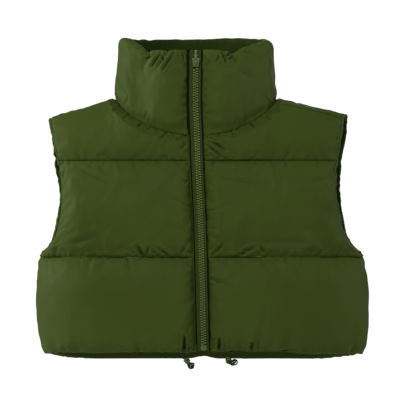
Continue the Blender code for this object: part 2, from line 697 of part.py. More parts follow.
def yoke_thickness(inner, over_shoulder, at_first, round_first, at_last, round_last):
    """A short column near the zip is padded less than a long one at the shoulder."""
    pillow = pillow_at(YOKE_ROWS)
    heights = np.linalg.norm(np.diff(inner, axis=0), axis=-1).sum(axis=0)
    pad = PAD_YOKE * np.sqrt(np.clip(heights / 0.095, 0.2, 1))
    pad *= 1 - (1 - SHOULDER_PAD_SHARE) * over_shoulder
    thickness = panel_thickness(inner, pillow, pad, at_first, at_last, round_first, round_last)
    fine = [neck_point(side, a) for side in (-1, 1) for a in np.linspace(0, 180, 121)]
    to_neck = np.linalg.norm(inner[:, :, None] - np.array(fine), axis=-1).min(axis=2)
    return np.minimum(thickness, CLOTH_AT_SEAM + STEEPEST_AT_NECK * to_neck)


def finish_yoke(name, inner, outer, to_collar, shoulder, toward_seam):
    inner[-1] -= to_collar * SEAM_GAP / 2
    outer[-1] -= to_collar * SEAM_GAP / 2
    shift(inner, outer, 0, slice(None), (0, 0, SEAM_GAP / 2))
    shift(inner, outer, -1, shoulder, (0, toward_seam * SEAM_GAP / 2, 0))
    wall(name, inner, outer)


def make_front_yoke(side, name):
    low_points = front_row(side, UPPER_SEAM, np.linspace(0, 1, 80))
    inner, through, to_collar = half_yoke(side, NECK_FRONT_ANGLES, low_points)
    normals = grid_normals(inner)
    normals[0] = level(normals[0])
    normals[:, 0] = unit(normals[:, 0] * np.array([0.0, 1.0, 0.0]))
    normals = lean_from_collar(normals, through)
    over = smooth_step_array((np.arange(inner.shape[1]) - NECK_COLUMNS * 0.6) / (NECK_COLUMNS * 0.5))
    thickness = yoke_thickness(inner, over, CLOTH_AT_SEAM, EDGE_ROUND_ZIP, CLOTH_AT_ARMHOLE, EDGE_ROUND_SHOULDER)
    outer = padded(name, inner, normals, thickness, pillow_at(YOKE_ROWS))
    finish_yoke(name, inner, outer, to_collar, slice(NECK_COLUMNS, None), -1)
    return inner[:, -1], outer[:, -1]


def make_back_yoke():
    name = "back_yoke"
    angles = NECK_BACK_ANGLES[::-1]
    halves = []
    for side in (-1, 1):
        end = 180 - angle_at_depth(body("armhole_back", UPPER_SEAM), body("back", UPPER_SEAM))
        low_points = [body_point(side, a, UPPER_SEAM) for a in np.linspace(180, end, 90)]
        halves.append(half_yoke(side, angles, low_points))

    def joined(k, axis):
        right, left = halves[0][k], halves[1][k]
        return np.concatenate([np.flip(right, axis)[:, :-1] if axis else right[:0:-1], left], axis=axis)

    inner = joined(0, 1)
    through = joined(1, 0)
    to_collar = joined(2, 0)
    normals = grid_normals(inner)
    normals[0] = level(normals[0])
    normals = lean_from_collar(normals, through)
    half = (inner.shape[1] - 1) // 2
    from_middle = np.abs(np.arange(inner.shape[1]) - half)
    over = smooth_step_array((from_middle - NECK_BACK_COLUMNS * 0.6) / (NECK_BACK_COLUMNS * 0.5))
    edge = (CLOTH_AT_ARMHOLE, EDGE_ROUND_SHOULDER)
    thickness = yoke_thickness(inner, over, *edge, *edge)
    outer = padded(name, inner, normals, thickness, pillow_at(YOKE_ROWS))
    last = inner.shape[1]
    shoulder = [*range(SHOULDER_COLUMNS + 1), *range(last - SHOULDER_COLUMNS - 1, last)]
    finish_yoke(name, inner, outer, to_collar, shoulder, 1)
    return {-1: (inner[:, 0], outer[:, 0]), 1: (inner[:, -1], outer[:, -1])}


# ---------------------------------------------------------------- collar
def collar_inset(angle, inset):
    """The inner face stands in from the neckline less beside the zip."""
    return inset * smooth_step(5, 46, angle)


def collar_pad(side, turn, share, pad_share, angle):
    """Padding of the collar, thin at the zip and pinched by its gathers."""
    zip_distance = max(angle - NECK_FRONT_ANGLES[0], 0) / 90 * 0.19
    pad = CLOTH_AT_SEAM + (PAD_COLLAR - CLOTH_AT_SEAM) * float(edge_round(zip_distance, 0.030))
    for gather in COLLAR_GATHERS:
        if gather.side != side or share < gather.share_end:
            continue
        reach = (share - gather.share_end) / (1 - gather.share_end)
        middle = gather.turn_end + (gather.turn_top - gather.turn_end) * reach
        pad -= gather.depth * reach * math.exp(-(((turn - middle) / gather.width) ** 2))
    return max(pad, 0.004) * pad_share


def collar_ring(side, angle):
    """The closed section of the collar at one place round the neck."""
    base = np.array(neck_point(side, angle))
    outward = neck_outward(side, angle)
    through, to_collar = neck_mitre(side, angle)
    turn = angle / 180
    top = read(COLLAR_TOP, "turn", "right" if side < 0 else "left", turn)
    centre = np.array([centre_line(base[2]), NECK_CENTRE_Y, 0.0])

    def place(section, raised):
        z = base[2] + section.share * (top - base[2])
        inset = collar_inset(angle, section.inset)
        plan = base - outward * inset
        plan[0] += centre_line(z) - centre[0]
        front_share = max(math.cos(math.radians(angle)), 0)
        if angle < 90:
            plan[1] += (COLLAR_LINE[0].front - zip_depth(z)) * front_share
        plan[2] = z
        return plan + outward * raised

    lift = to_collar * SEAM_GAP / 2
    ring = [base + lift, base + through * CLOTH_AT_SEAM + lift]
    for section in COLLAR_OUTSIDE:
        ring.append(place(section, collar_pad(side, turn, section.share, section.pad, angle)))
    for section in COLLAR_INSIDE:
        ring.append(place(section, collar_pad(side, turn, section.share, section.pad, angle)))
    return ring


def make_collar():
    angles = NECK_FRONT_ANGLES + NECK_BACK_ANGLES[1:]
    right = [collar_ring(-1, a) for a in angles]
    left = [collar_ring(1, a) for a in angles[:-1]]
    loft("collar", right + left[::-1])


# ---------------------------------------------------------------- edges
def armhole_path(side, pieces):
    """The closed line round an armhole, just off the cloth's edge, and the wall's direction along it."""
    (fm_in, fm_out), (fy_in, fy_out), (by_in, by_out), (bm_in, bm_out) = pieces
    inner = np.concatenate([fm_in[:-1], fy_in[:-1], by_in[::-1], bm_in[:0:-1][1:]])
    outer = np.concatenate([fm_out[:-1], fy_out[:-1], by_out[::-1], bm_out[:0:-1][1:]])
    middle = (inner + outer) / 2
    cloth = unit(outer - inner)
    run = unit(np.roll(middle, -1, axis=0) - np.roll(middle, 1, axis=0))
    away = unit(np.cross(run, cloth))
    heart = np.array([side * 0.215, 0.0, -0.13])
    away *= np.where(np.sum(away * (heart - middle), axis=1, keepdims=True) < 0, -1, 1)
    return middle, cloth, away


def make_binding(side, name, pieces):
    middle, cloth, away = armhole_path(side, pieces)
    clear = BINDING_RADIUS + 3 * SEAM_GAP
    rings = []
    for point, across, out in zip(middle, cloth, away):
        centre = point + out * clear
        ring = []
        for k in range(8):
            turn = math.radians(22.5 + 45 * k)
            ring.append(centre + out * math.cos(turn) * BINDING_RADIUS + across * math.sin(turn) * 0.0034)
        rings.append(ring)
    loft(name, rings, closed=True, sharp_deg=80)


def tunnel_ring(side, angle):
    """Section of the hem's tunnel, a flat tube below the lowest row."""
    low = hem_height(angle)
    top = low + TUNNEL_HEIGHT - SEAM_GAP
    inner = [np.array(body_point(side, angle, z)) for z in (top, low)]
    ahead = np.array(body_point(side, min(angle + 1, 179.9), low))
    behind = np.array(body_point(side, max(angle - 1, 0.1), low))
    run = ahead - behind
    outward = unit(np.cross(run, np.array([0.0, 0.0, 1.0])) * side)
    outward *= 1 if outward @ inner[1] > 0 else -1
    middle = (inner[0] + inner[1]) / 2
    foot = np.array([0.0, 0.0, 0.0008])
    return [
        inner[0],
        inner[0] + outward * TUNNEL_WALL,
        middle + outward * (TUNNEL_WALL + 0.0005),
        inner[1] + outward * TUNNEL_WALL + foot,
        inner[1] + outward * TUNNEL_WALL / 2,
        inner[1] + foot,
    ]


def make_tunnels():
    start = math.degrees(math.asin((ZIP_OPENING / 0.22) ** (1 / SQUIRCLE)))
    for side, name in ((-1, "hem_tunnel_right"), (1, "hem_tunnel_left")):
        path = along([body_point(side, a, HEM_FRONT) for a in np.linspace(start, 90, 90)], FRONT_COLUMNS)
        rings = [tunnel_ring(side, angle_of(side, p)) for p in path]
        rings[-1] = [p - np.array([0, SEAM_GAP / 2, 0]) for p in rings[-1]]
        loft(name, rings)
    half = along([body_point(1, a, HEM_BACK) for a in np.linspace(180, 90, 90)], BACK_HALF_COLUMNS)
    angles = [180 - angle_of(1, p * np.array([1, -1, 1])) for p in half]
    rings = [tunnel_ring(-1, a) for a in angles[:0:-1]] + [tunnel_ring(1, a) for a in angles]
    for end in (0, -1):
        rings[end] = [p + np.array([0, SEAM_GAP / 2, 0]) for p in rings[end]]
    loft("hem_tunnel_back", rings)


def angle_of(side, point):
    """The form's angle of a point in front of the side line."""
    deep = min(max(-point[1] / body("front", HEM_FRONT), 0), 1)
    across = min(abs(point[0] - centre_line(point[2])) / body("side", HEM_FRONT), 1)
    return math.degrees(math.atan2(across ** (1 / SQUIRCLE), deep ** (1 / SQUIRCLE)))


# ---------------------------------------------------------------- zip
def zip_point(height, across, out):
    """A point beside the zip's middle line, out from the fronts' inner face."""
    return (centre_line(height) + across, -zip_depth(height) - out, height)


def zip_tilt(height):
    """How far the zip leans back there, as a turn about X."""
    return -math.atan2(zip_depth(height - 0.004) - zip_depth(height + 0.004), 0.008)


def zip_strip(name, side, near, far, back, front, low, high, count, **finish):
    """A strip along the zip, such as a tape or one side's teeth."""
    rings = []
    for k in range(count + 1):
        z = low + (high - low) * k / count
        corners = ((near, back), (far, back), (far, front), (near, front))
        rings.append([zip_point(z, side * across, out) for across, out in corners])
    loft(name, rings, **finish)


def make_zip():
    face = -TAPE_CLEARANCE
    for side, word in ((-1, "right"), (1, "left")):
        zip_strip(
            "zip_tape_" + word, side, 0.0004, TAPE_HALF_WIDTH, face - TAPE_THICKNESS, face,
            TAPE_BOTTOM, TAPE_TOP, 34, colour=OLIVE_TRIM, roughness=0.8,
        )
        zip_strip(
            "zip_teeth_" + word, side, SEAM_GAP / 2, TEETH_HALF_WIDTH, face + SEAM_GAP, face + TEETH_THICKNESS,
            TAPE_BOTTOM + 0.0085, TEETH_TOP, 30, colour=OLIVE_TRIM, roughness=0.4,
        )
        stop_size = (0.0026, 0.0022, 0.0034)
        zip_block("zip_stop_" + word, 0.0655, side * 0.0024, stop_size, 0.0006)
    box_size = (0.0088, 0.0030, 0.0076)
    zip_block("zip_box", TAPE_BOTTOM + 0.0042, 0, box_size, 0.0008)


def zip_block(name, height, across, size, bevel):
    """A moulded block that sits on the front of the tapes and leans with them."""
    obj = block(name, zip_point(height, across, SEAM_GAP - TAPE_CLEARANCE + size[1] / 2), size, bevel)
    obj.rotation_euler.x = zip_tilt(height)


def block(name, centre, size, bevel):
    """A moulded block with rounded edges."""
    bm = bmesh.new()
    bmesh.ops.create_cube(bm, size=1)
    for vertex in bm.verts:
        vertex.co = Vector(size) * vertex.co
    bmesh.ops.bevel(bm, geom=bm.edges, offset=bevel, segments=2, profile=0.5, affect="EDGES")
    obj = add_object(name, bm, colour=OLIVE_TRIM, roughness=0.4)
    obj.location = centre
    return obj


def prism(name, outline, low, high, bevel, **finish):
    """An outline in X and Z, drawn from Y low to Y high, with rounded edges."""
    bm = closed_loft([[(x, y, z) for x, z in outline] for y in (low, high)])
    bmesh.ops.bevel(bm, geom=bm.edges, offset=bevel, segments=1, affect="EDGES")
    return add_object(name, bm, **finish)


def make_slider():
    """The slider's body with its bridge, and the pull tab, which turns on a bar under the bridge."""
    lean = zip_tilt(SLIDER_HEIGHT)
    place = Vector(zip_point(SLIDER_HEIGHT, 0, SEAM_GAP - TAPE_CLEARANCE))
    plate = -0.0048
    half = SLIDER_LENGTH / 2
    outline = [
        (0.0042, -half), (0.0048, -0.2 * half), (0.0060, 0.45 * half), (0.0058, 0.9 * half), (0.0032, half),
        (-0.0032, half), (-0.0058, 0.9 * half), (-0.0060, 0.45 * half), (-0.0048, -0.2 * half), (-0.0042, -half),
    ]
    finish = {"colour": OLIVE_TRIM, "roughness": 0.35}
    slider = prism("zip_slider", outline, 0.0, plate, 0.0006, **finish)
    bridge = make_bridge(plate)
    for piece in (slider, bridge):
        piece.location = place
        piece.rotation_euler.x = lean
    join = slider.modifiers.new("bridge", "BOOLEAN")
    join.operation = "UNION"
    join.solver = "EXACT"
    join.object = bridge

    bar_out = 0.0013
    tab = make_tab(**finish)
    tab.location = place + Vector((0, (plate - bar_out) * math.cos(lean), (plate - bar_out) * math.sin(lean)))
    tab.rotation_euler.x = -math.radians(TAB_LEAN_DEG)


def make_bridge(plate):
    """The arch on the slider's face that the pull tab hangs on."""
    reach = 0.0042
    rise = 0.0038
    bar = 0.0011
    foot = 0.0008
    turns = [math.pi * k / 8 for k in range(9)]
    arch = [(reach * math.cos(t), rise * max(math.sin(t), 0) ** 0.7) for t in turns]
    hollow = [(z * (1 - bar / reach), out * (1 - bar / rise)) for z, out in arch]
    profile = [(arch[0][0], -foot), *arch, (arch[-1][0], -foot)]
    profile += [(hollow[-1][0], -foot), *hollow[::-1], (hollow[0][0], -foot)]
    half_width = 0.0010
    bridge = loft("bridge_shape", [[(x, plate - out, z) for z, out in profile] for x in (-half_width, half_width)])
    bridge.hide_render = True
    bridge.display_type = "WIRE"
    return bridge


def make_tab(**finish):
    """A flat bar with a slot at its foot. Its origin is on the hinge's axis, along X."""
    foot = 0.0007
    arm_out = 0.0029
    slot_half = 0.0016
    slot_top = 0.0062
    neck = 0.0019
    shoulder = 0.0085
    tip = TAB_LENGTH
    bm = bmesh.new()
    outer = [
        (-arm_out, -foot), (arm_out, -foot), (arm_out, slot_top), (neck, shoulder), (neck, tip - 0.0012),
        (neck * 0.5, tip), (-neck * 0.5, tip), (-neck, tip - 0.0012), (-neck, shoulder), (-arm_out, slot_top),
    ]
    inner = [(-slot_half, foot), (slot_half, foot), (slot_half, slot_top - 0.0012), (0.0, slot_top),
             (-slot_half, slot_top - 0.0012)]
    half = 0.0006
    for y in (-half, half):
        rings = []
        for shape in (outer, inner):
            verts = [bm.verts.new((x, y, z)) for x, z in shape]
            rings += [bm.edges.new((verts[k], verts[(k + 1) % len(verts)])) for k in range(len(verts))]
        bmesh.ops.triangle_fill(bm, edges=rings, use_beauty=True)
    bm.verts.ensure_lookup_table()
    count = len(outer) + len(inner)
    for start, size in ((0, len(outer)), (len(outer), len(inner))):
        for k in range(size):
            a = start + k
            b = start + (k + 1) % size
            bm.faces.new([bm.verts[a], bm.verts[b], bm.verts[b + count], bm.verts[a + count]])
    return add_object("zip_pull_tab", bm, **finish)


# ---------------------------------------------------------------- drawcord
# Each elastic cord leaves the hem's tunnel, passes through its lock, turns in a small loop, and comes back
# through the lock to the tunnel.
RoutePoint = namedtuple("RoutePoint", "x y z")
CORD_RIGHT = [
    RoutePoint(-0.0360, -0.1030, -0.3771), RoutePoint(-0.0355, -0.1031, -0.3797), RoutePoint(-0.0334, -0.1032, -0.3821),
    RoutePoint(-0.0301, -0.1033, -0.3839), RoutePoint(-0.0262, -0.1034, -0.3854), RoutePoint(-0.0226, -0.1035, -0.3874),
    RoutePoint(-0.0204, -0.1035, -0.3901), RoutePoint(-0.0182, -0.1035, -0.3929), RoutePoint(-0.0175, -0.1035, -0.3943),
    RoutePoint(-0.0175, -0.1036, -0.3962), RoutePoint(-0.0175, -0.1036, -0.3981), RoutePoint(-0.0165, -0.1036, -0.3999),
    RoutePoint(-0.0146, -0.1036, -0.4012), RoutePoint(-0.0122, -0.1036, -0.4012), RoutePoint(-0.0108, -0.1036, -0.4005),
    RoutePoint(-0.0097, -0.1036, -0.3993), RoutePoint(-0.0092, -0.1036, -0.3969), RoutePoint(-0.0099, -0.1036, -0.3947),
    RoutePoint(-0.0115, -0.1036, -0.3934), RoutePoint(-0.0133, -0.1036, -0.3929), RoutePoint(-0.0152, -0.1035, -0.3925),
    RoutePoint(-0.0164, -0.1035, -0.3914), RoutePoint(-0.0186, -0.1035, -0.3887), RoutePoint(-0.0208, -0.1035, -0.3859),
    RoutePoint(-0.0229, -0.1034, -0.3829), RoutePoint(-0.0238, -0.1032, -0.3800), RoutePoint(-0.0240, -0.1030, -0.3771),
]
CORD_LEFT = [
    RoutePoint(0.0578, -0.1030, -0.3771), RoutePoint(0.0573, -0.1029, -0.3798), RoutePoint(0.0554, -0.1026, -0.3824),
    RoutePoint(0.0525, -0.1022, -0.3842), RoutePoint(0.0492, -0.1019, -0.3852), RoutePoint(0.0462, -0.1018, -0.3856),
    RoutePoint(0.0434, -0.1027, -0.3863), RoutePoint(0.0422, -0.1050, -0.3879), RoutePoint(0.0425, -0.1078, -0.3899),
    RoutePoint(0.0429, -0.1106, -0.3920), RoutePoint(0.0433, -0.1121, -0.3931), RoutePoint(0.0447, -0.1139, -0.3942),
    RoutePoint(0.0467, -0.1152, -0.3950), RoutePoint(0.0492, -0.1159, -0.3954), RoutePoint(0.0516, -0.1162, -0.3954),
    RoutePoint(0.0544, -0.1163, -0.3943), RoutePoint(0.0556, -0.1164, -0.3915), RoutePoint(0.0544, -0.1165, -0.3886),
    RoutePoint(0.0515, -0.1165, -0.3874), RoutePoint(0.0492, -0.1164, -0.3882), RoutePoint(0.0471, -0.1160, -0.3899),
    RoutePoint(0.0450, -0.1151, -0.3909), RoutePoint(0.0434, -0.1135, -0.3909), RoutePoint(0.0429, -0.1120, -0.3901),
    RoutePoint(0.0425, -0.1092, -0.3881), RoutePoint(0.0422, -0.1064, -0.3860), RoutePoint(0.0431, -0.1048, -0.3843),
    RoutePoint(0.0447, -0.1037, -0.3824), RoutePoint(0.0461, -0.1032, -0.3797), RoutePoint(0.0465, -0.1030, -0.3771),
]
Lock = namedtuple("Lock", "name centre direction")
LOCKS = [
    Lock("cord_lock_right", (-0.0195, -0.1035, -0.3894), (0.62, 0.0, -0.785)),
    Lock("cord_lock_left", (0.0425, -0.1085, -0.3890), (0.10, -0.80, -0.59)),
]


def smooth_route(points, step):
    """Evenly spaced points on a smooth curve through a route's points."""
    points = np.array(points)
    padded_ends = np.concatenate([[2 * points[0] - points[1]], points, [2 * points[-1] - points[-2]]])
    fine = []
    for a, b, c, d in zip(padded_ends, padded_ends[1:], padded_ends[2:], padded_ends[3:]):
        for t in np.linspace(0, 1, 12, endpoint=False):
            fine.append(
                0.5 * (2 * b + (c - a) * t + (2 * a - 5 * b + 4 * c - d) * t**2 + (3 * b - a - 3 * c + d) * t**3)
            )
    fine.append(points[-1])
    length = np.linalg.norm(np.diff(fine, axis=0), axis=1).sum()
    return along(fine, np.linspace(0, 1, round(length / step) + 1))


def make_cord(name, route):
    path = smooth_route(route, CORD_STEP)
    curve = bpy.data.curves.new(name, "CURVE")
    curve.dimensions = "3D"
    curve.bevel_depth = CORD_DIAMETER / 2
    curve.bevel_resolution = 2
    curve.use_fill_caps = True
    spline = curve.splines.new("POLY")
    spline.points.add(len(path) - 1)
    for point, place in zip(spline.points, path):
        point.co = (*place, 1)
    spline.use_smooth = True
    curve.materials.append(material(name, OLIVE_TRIM, 0.8))
    bpy.context.scene.collection.objects.link(bpy.data.objects.new(name, curve))


def make_lock(lock):
    """A moulded barrel with a hole for the two runs of the cord."""
    half = LOCK_LENGTH / 2
    round_off = 0.0011
    profile = [
        (LOCK_HOLE, -half), (LOCK_RADIUS - round_off, -half), (LOCK_RADIUS, -half + round_off),
        (LOCK_RADIUS, half - round_off), (LOCK_RADIUS - round_off, half), (LOCK_HOLE, half),
    ]
    sides = 16
    rings = []
    for k in range(sides):
        turn = 2 * math.pi * k / sides
        rings.append([(r * math.cos(turn), r * math.sin(turn), z) for r, z in profile])
    obj = loft(lock.name, rings, closed=True, colour=OLIVE_TRIM, roughness=0.35, sharp_deg=40)
    obj.location = lock.centre
    obj.rotation_euler = Vector(lock.direction).to_track_quat("Z", "Y").to_euler()


def make_cords():
    make_cord("drawcord_right", CORD_RIGHT)
    make_cord("drawcord_left", CORD_LEFT)
    for lock in LOCKS:
        make_lock(lock)


# ---------------------------------------------------------------- the vest
def main():
    for obj in list(bpy.data.objects):
        bpy.data.objects.remove(obj, do_unlink=True)
    front_edges = {}
    for side, word in ((-1, "right"), (1, "left")):
        make_front_lower(side, "front_lower_" + word)
        middle = make_front_middle(side, "front_middle_" + word)
        yoke = make_front_yoke(side, "front_yoke_" + word)
        front_edges[side] = (middle, yoke)
    make_back_lower()
    back_middle = make_back_middle()
    back_yoke = make_back_yoke()
    make_collar()
    for side, word in ((-1, "right"), (1, "left")):
        middle, yoke = front_edges[side]
        make_binding(side, "armhole_binding_" + word, (middle, yoke, back_yoke[side], back_middle[side]))
    make_tunnels()
    make_zip()
    make_slider()
    make_cords()


main()
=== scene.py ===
import math
from functools import partial

import bmesh
import bpy
import numpy as np
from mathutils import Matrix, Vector


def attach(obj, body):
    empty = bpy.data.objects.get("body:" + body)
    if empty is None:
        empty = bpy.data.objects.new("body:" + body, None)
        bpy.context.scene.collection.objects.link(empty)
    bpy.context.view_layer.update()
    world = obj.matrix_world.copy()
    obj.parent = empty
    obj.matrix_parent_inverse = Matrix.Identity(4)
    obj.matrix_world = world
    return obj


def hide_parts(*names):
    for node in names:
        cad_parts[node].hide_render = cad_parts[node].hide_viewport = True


# A cropped puffer vest in metres, +Z up, the zipped front toward -Y, the wearer's left toward +X.
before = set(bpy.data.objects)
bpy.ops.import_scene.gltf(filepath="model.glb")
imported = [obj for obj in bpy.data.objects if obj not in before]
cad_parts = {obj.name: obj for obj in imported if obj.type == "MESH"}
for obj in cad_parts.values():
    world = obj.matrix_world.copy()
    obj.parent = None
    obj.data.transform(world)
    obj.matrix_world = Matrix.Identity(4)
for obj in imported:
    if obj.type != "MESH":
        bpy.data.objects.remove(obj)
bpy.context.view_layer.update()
print("frame loaded with", len(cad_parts), "nodes")
bothSides = ((-1, "right"), (1, "left"))


def addToScene(obj):
    bpy.context.scene.collection.objects.link(obj)


# camera
cameraSettings = {
    "distance": 16.0,  # a long lens, so the front shows almost no perspective
    "aimHeight": -0.15,
    "pointSize": 0.0015,  # metres that one rendered point covers at the side seams
    "pointsAcross": 400,
    "sensor": 36.0,
}


def makeCamera(s):
    camera = bpy.data.cameras.new("camera")
    camera.sensor_width = s["sensor"]
    camera.lens = s["sensor"] * s["distance"] / (s["pointSize"] * s["pointsAcross"])
    camera.clip_end = 60
    obj = bpy.data.objects.new("camera", camera)
    addToScene(obj)
    obj.location = (0, -s["distance"], s["aimHeight"])
    obj.rotation_euler = (math.radians(90), 0, 0)
    bpy.context.scene.camera = obj


makeCamera(cameraSettings)


# colours and nodes
def linear(hexColour):
    values = [int(hexColour[k:k + 2], 16) / 255 for k in (1, 3, 5)]
    return [v / 12.92 if v <= 0.04045 else ((v + 0.055) / 1.055) ** 2.4 for v in values] + [1]


def addNode(tree, kind, inputs=None, **settings):
    node = tree.nodes.new("ShaderNode" + kind)
    for name, value in settings.items():
        setattr(node, name, value)
    for name, value in (inputs or {}).items():
        if isinstance(value, bpy.types.NodeSocket):
            tree.links.new(value, node.inputs[name])
        else:
            node.inputs[name].default_value = value
    return node


def newFinish(name, roughness, ior=1.5):
    finish = bpy.data.materials.new(name)
    finish.use_nodes = True
    shader = finish.node_tree.nodes["Principled BSDF"]
    shader.inputs["Roughness"].default_value = roughness
    shader.inputs["IOR"].default_value = ior
    return finish, finish.node_tree, shader


millimetre = 0.001


def inMetres(table):
    return np.array(table, float) / 1000


olive = {
    "shell": "#3b4719",
    "shellWorn": "#435020",
    # the lining's colour, darkened as painted shade
    "lining": "#1a2109",
    # near-black olive for the painted shade at the bottom of tucks and seams
    "paintedCreaseShade": "#10160a",
    "trim": "#3e4a22",
    "tape": "#38431b",
    "teeth": "#424f22",
    "teethWorn": "#5f6f36",
    "slider": "#3a4720",
    "sliderWorn": "#5c6b38",
    "cord": "#232d14",
    "lock": "#28351a",
    "lockWorn": "#5b6c3e",
    "thread": "#59683a",
    "bartack": "#8d9a6c",
}
weaveSettings = {
    "ior": 1.52,
    "waveScale": 0.314,  # a wave texture of this scale repeats once in a unit
    "distortion": 0.6,
    "slub": (4, 90),  # a thick thread's width and length in millimetres
    "slubShare": 0.22,
    "cloudScale": 9.0,
    "clouds": (0.35, 0.95),
    "rubbedEdge": (0.52, 0.60),
    "rubbed": 0.5,
    # pointiness range and strength of the painted shade in hollows
    "paintedCreaseRange": (0.43, 0.492),
    "paintedCreaseShade": 0.85,
    "crumpleDepth": 0.06,  # of its own spacing
    "threadDepth": 0.25,
    "unevenRoughness": 0.07,
    "sheenRoughness": 0.45,
}


def wovenFinish(name, colour, worn, roughness, s):
    # plain weave: two sets of threads, one over and one under by turns, from the piece's own flat pattern in metres
    w = weaveSettings
    finish, tree, shader = newFinish(name, roughness, w["ior"])
    thread, crumpled = s["thread"] * millimetre, s["crumple"] * millimetre
    flat = addNode(tree, "UVMap", uv_map="pattern").outputs[0]
    thready = {"Vector": flat, "Scale": w["waveScale"] / thread, "Distortion": w["distortion"], "Detail": 1.0}
    warp, weft = (addNode(tree, "TexWave", thready, bands_direction=way) for way in "XY")
    over = addNode(tree, "TexChecker", {"Vector": flat, "Scale": 1 / thread})
    weave = addNode(tree, "Mix", {"Factor": over.outputs["Fac"], 2: warp.outputs["Fac"], 3: weft.outputs["Fac"]})
    place = addNode(tree, "TexCoord").outputs["Object"]
    # soft crumple that calendered cloth keeps over its filling
    crumple = addNode(tree, "TexNoise", {"Vector": place, "Scale": 1 / crumpled, "Detail": 3.0, "Roughness": 0.55})
    slub = addNode(tree, "Mapping", {"Vector": flat, "Scale": (*(1 / (size * millimetre) for size in w["slub"]), 1)})
    streak = addNode(tree, "TexNoise", {"Vector": slub.outputs[0], "Scale": 1.0, "Detail": 2.0})
    shade = addNode(tree, "TexNoise", {"Vector": place, "Scale": w["cloudScale"], "Detail": 2.0})
    worth = addNode(tree, "Math", {0: streak.outputs["Fac"], 1: w["slubShare"], 2: shade.outputs["Fac"]},
                    operation="MULTIPLY_ADD")
    low, high = w["clouds"]
    spread = addNode(tree, "MapRange", {"Value": worth.outputs[0], "From Min": low, "From Max": high})
    edge = addNode(tree, "NewGeometry").outputs["Pointiness"]
    rubbed = addNode(tree, "MapRange", {"Value": edge, "From Min": w["rubbedEdge"][0], "From Max": w["rubbedEdge"][1],
                                        "To Max": w["rubbed"]})
    total = addNode(tree, "Math", {0: spread.outputs[0], 1: rubbed.outputs[0]}, operation="ADD", use_clamp=True)
    body = addNode(tree, "Mix", {"Factor": total.outputs[0], 6: linear(colour), 7: linear(worn)}, data_type="RGBA")
    thin = addNode(tree, "Mix", {"Factor": s["threadShade"], 6: body.outputs[2], 7: weave.outputs[0]},
                   data_type="RGBA", blend_type="MULTIPLY")
    # painted shade: where the surface is hollow, at the bottom of a tuck or seam, the colour is mixed toward a
    # near-black olive
    pressed = addNode(tree, "MapRange", {"Value": edge, "From Min": w["paintedCreaseRange"][0], "From Max": w["paintedCreaseRange"][1],
                                         "To Min": w["paintedCreaseShade"], "To Max": 0.0})
    paintedCreaseShade = linear(olive["paintedCreaseShade"])
    deep = addNode(tree, "Mix", {"Factor": pressed.outputs[0], 6: thin.outputs[2], 7: paintedCreaseShade}, data_type="RGBA")
    rough = addNode(tree, "MapRange", {"Value": crumple.outputs["Fac"], "To Min": roughness - w["unevenRoughness"],
                                       "To Max": roughness + w["unevenRoughness"]})
    broad = addNode(tree, "Bump", {"Height": crumple.outputs["Fac"], "Strength": s["crumpleStrength"],
                                   "Distance": crumpled * w["crumpleDepth"]})
    fine = addNode(tree, "Bump", {"Height": weave.outputs[0], "Strength": s["threadStrength"],
                                  "Distance": thread * w["threadDepth"], "Normal": broad.outputs[0]})
    tree.links.new(deep.outputs[2], shader.inputs["Base Color"])
    tree.links.new(rough.outputs[0], shader.inputs["Roughness"])
    tree.links.new(fine.outputs[0], shader.inputs["Normal"])
    shader.inputs["Sheen Weight"].default_value = s["sheen"]
    shader.inputs["Sheen Roughness"].default_value = w["sheenRoughness"]
    shader.inputs["Sheen Tint"].default_value = linear(s["sheenTint"])
    shader.inputs["Specular IOR Level"].default_value = s["gloss"]
    return finish


mouldSettings = {
    "ior": 1.48,
    "rubbedEdge": (0.5, 0.58),
    "smoother": 0.08,
    "rougher": 0.1,
    "depth": 0.1,  # of the grain's own size
}


def mouldedFinish(name, colour, worn, roughness, s, coat=0.0):
    # a fine-blasted mould's grain, rubbed paler on the edges
    m = mouldSettings
    finish, tree, shader = newFinish(name, roughness, m["ior"])
    place = addNode(tree, "TexCoord").outputs["Object"]
    grain = addNode(tree, "TexNoise", {"Vector": place, "Scale": 1 / (s["grain"] * millimetre), "Detail": 3.0})
    edge = addNode(tree, "NewGeometry").outputs["Pointiness"]
    rubbed = addNode(tree, "MapRange", {"Value": edge, "From Min": m["rubbedEdge"][0], "From Max": m["rubbedEdge"][1]})
    blend = addNode(tree, "Math", {0: grain.outputs["Fac"], 1: 0.5, 2: rubbed.outputs[0]},
                    operation="MULTIPLY_ADD", use_clamp=True)
    body = addNode(tree, "Mix", {"Factor": blend.outputs[0], 6: linear(colour), 7: linear(worn)}, data_type="RGBA")
    rough = addNode(tree, "MapRange", {"Value": grain.outputs["Fac"], "To Min": roughness - m["smoother"],
                                       "To Max": roughness + m["rougher"]})
    bump = addNode(tree, "Bump", {"Height": grain.outputs["Fac"], "Strength": s["strength"],
                                  "Distance": s["grain"] * millimetre * m["depth"]})
    tree.links.new(body.outputs[2], shader.inputs["Base Color"])
    tree.links.new(rough.outputs[0], shader.inputs["Roughness"])
    tree.links.new(bump.outputs[0], shader.inputs["Normal"])
    shader.inputs["Coat Weight"].default_value = coat
    shader.inputs["Specular IOR Level"].default_value = s["gloss"]
    return finish


# Polyester taffeta, woven and calendered: matt from afar, with a soft silky light along its folds. Its threads
# are about 0.2 mm apart, which is too fine to show, so they are drawn at 1.1 mm.
shellTaffeta = wovenFinish("shellTaffeta", olive["shell"], olive["shellWorn"], 0.6, {
    "thread": 1.1, "threadShade": 0.10, "threadStrength": 0.12, "crumple": 16, "crumpleStrength": 0.45,
    "sheen": 0.02, "sheenTint": "#8f9c4e", "gloss": 0.03})
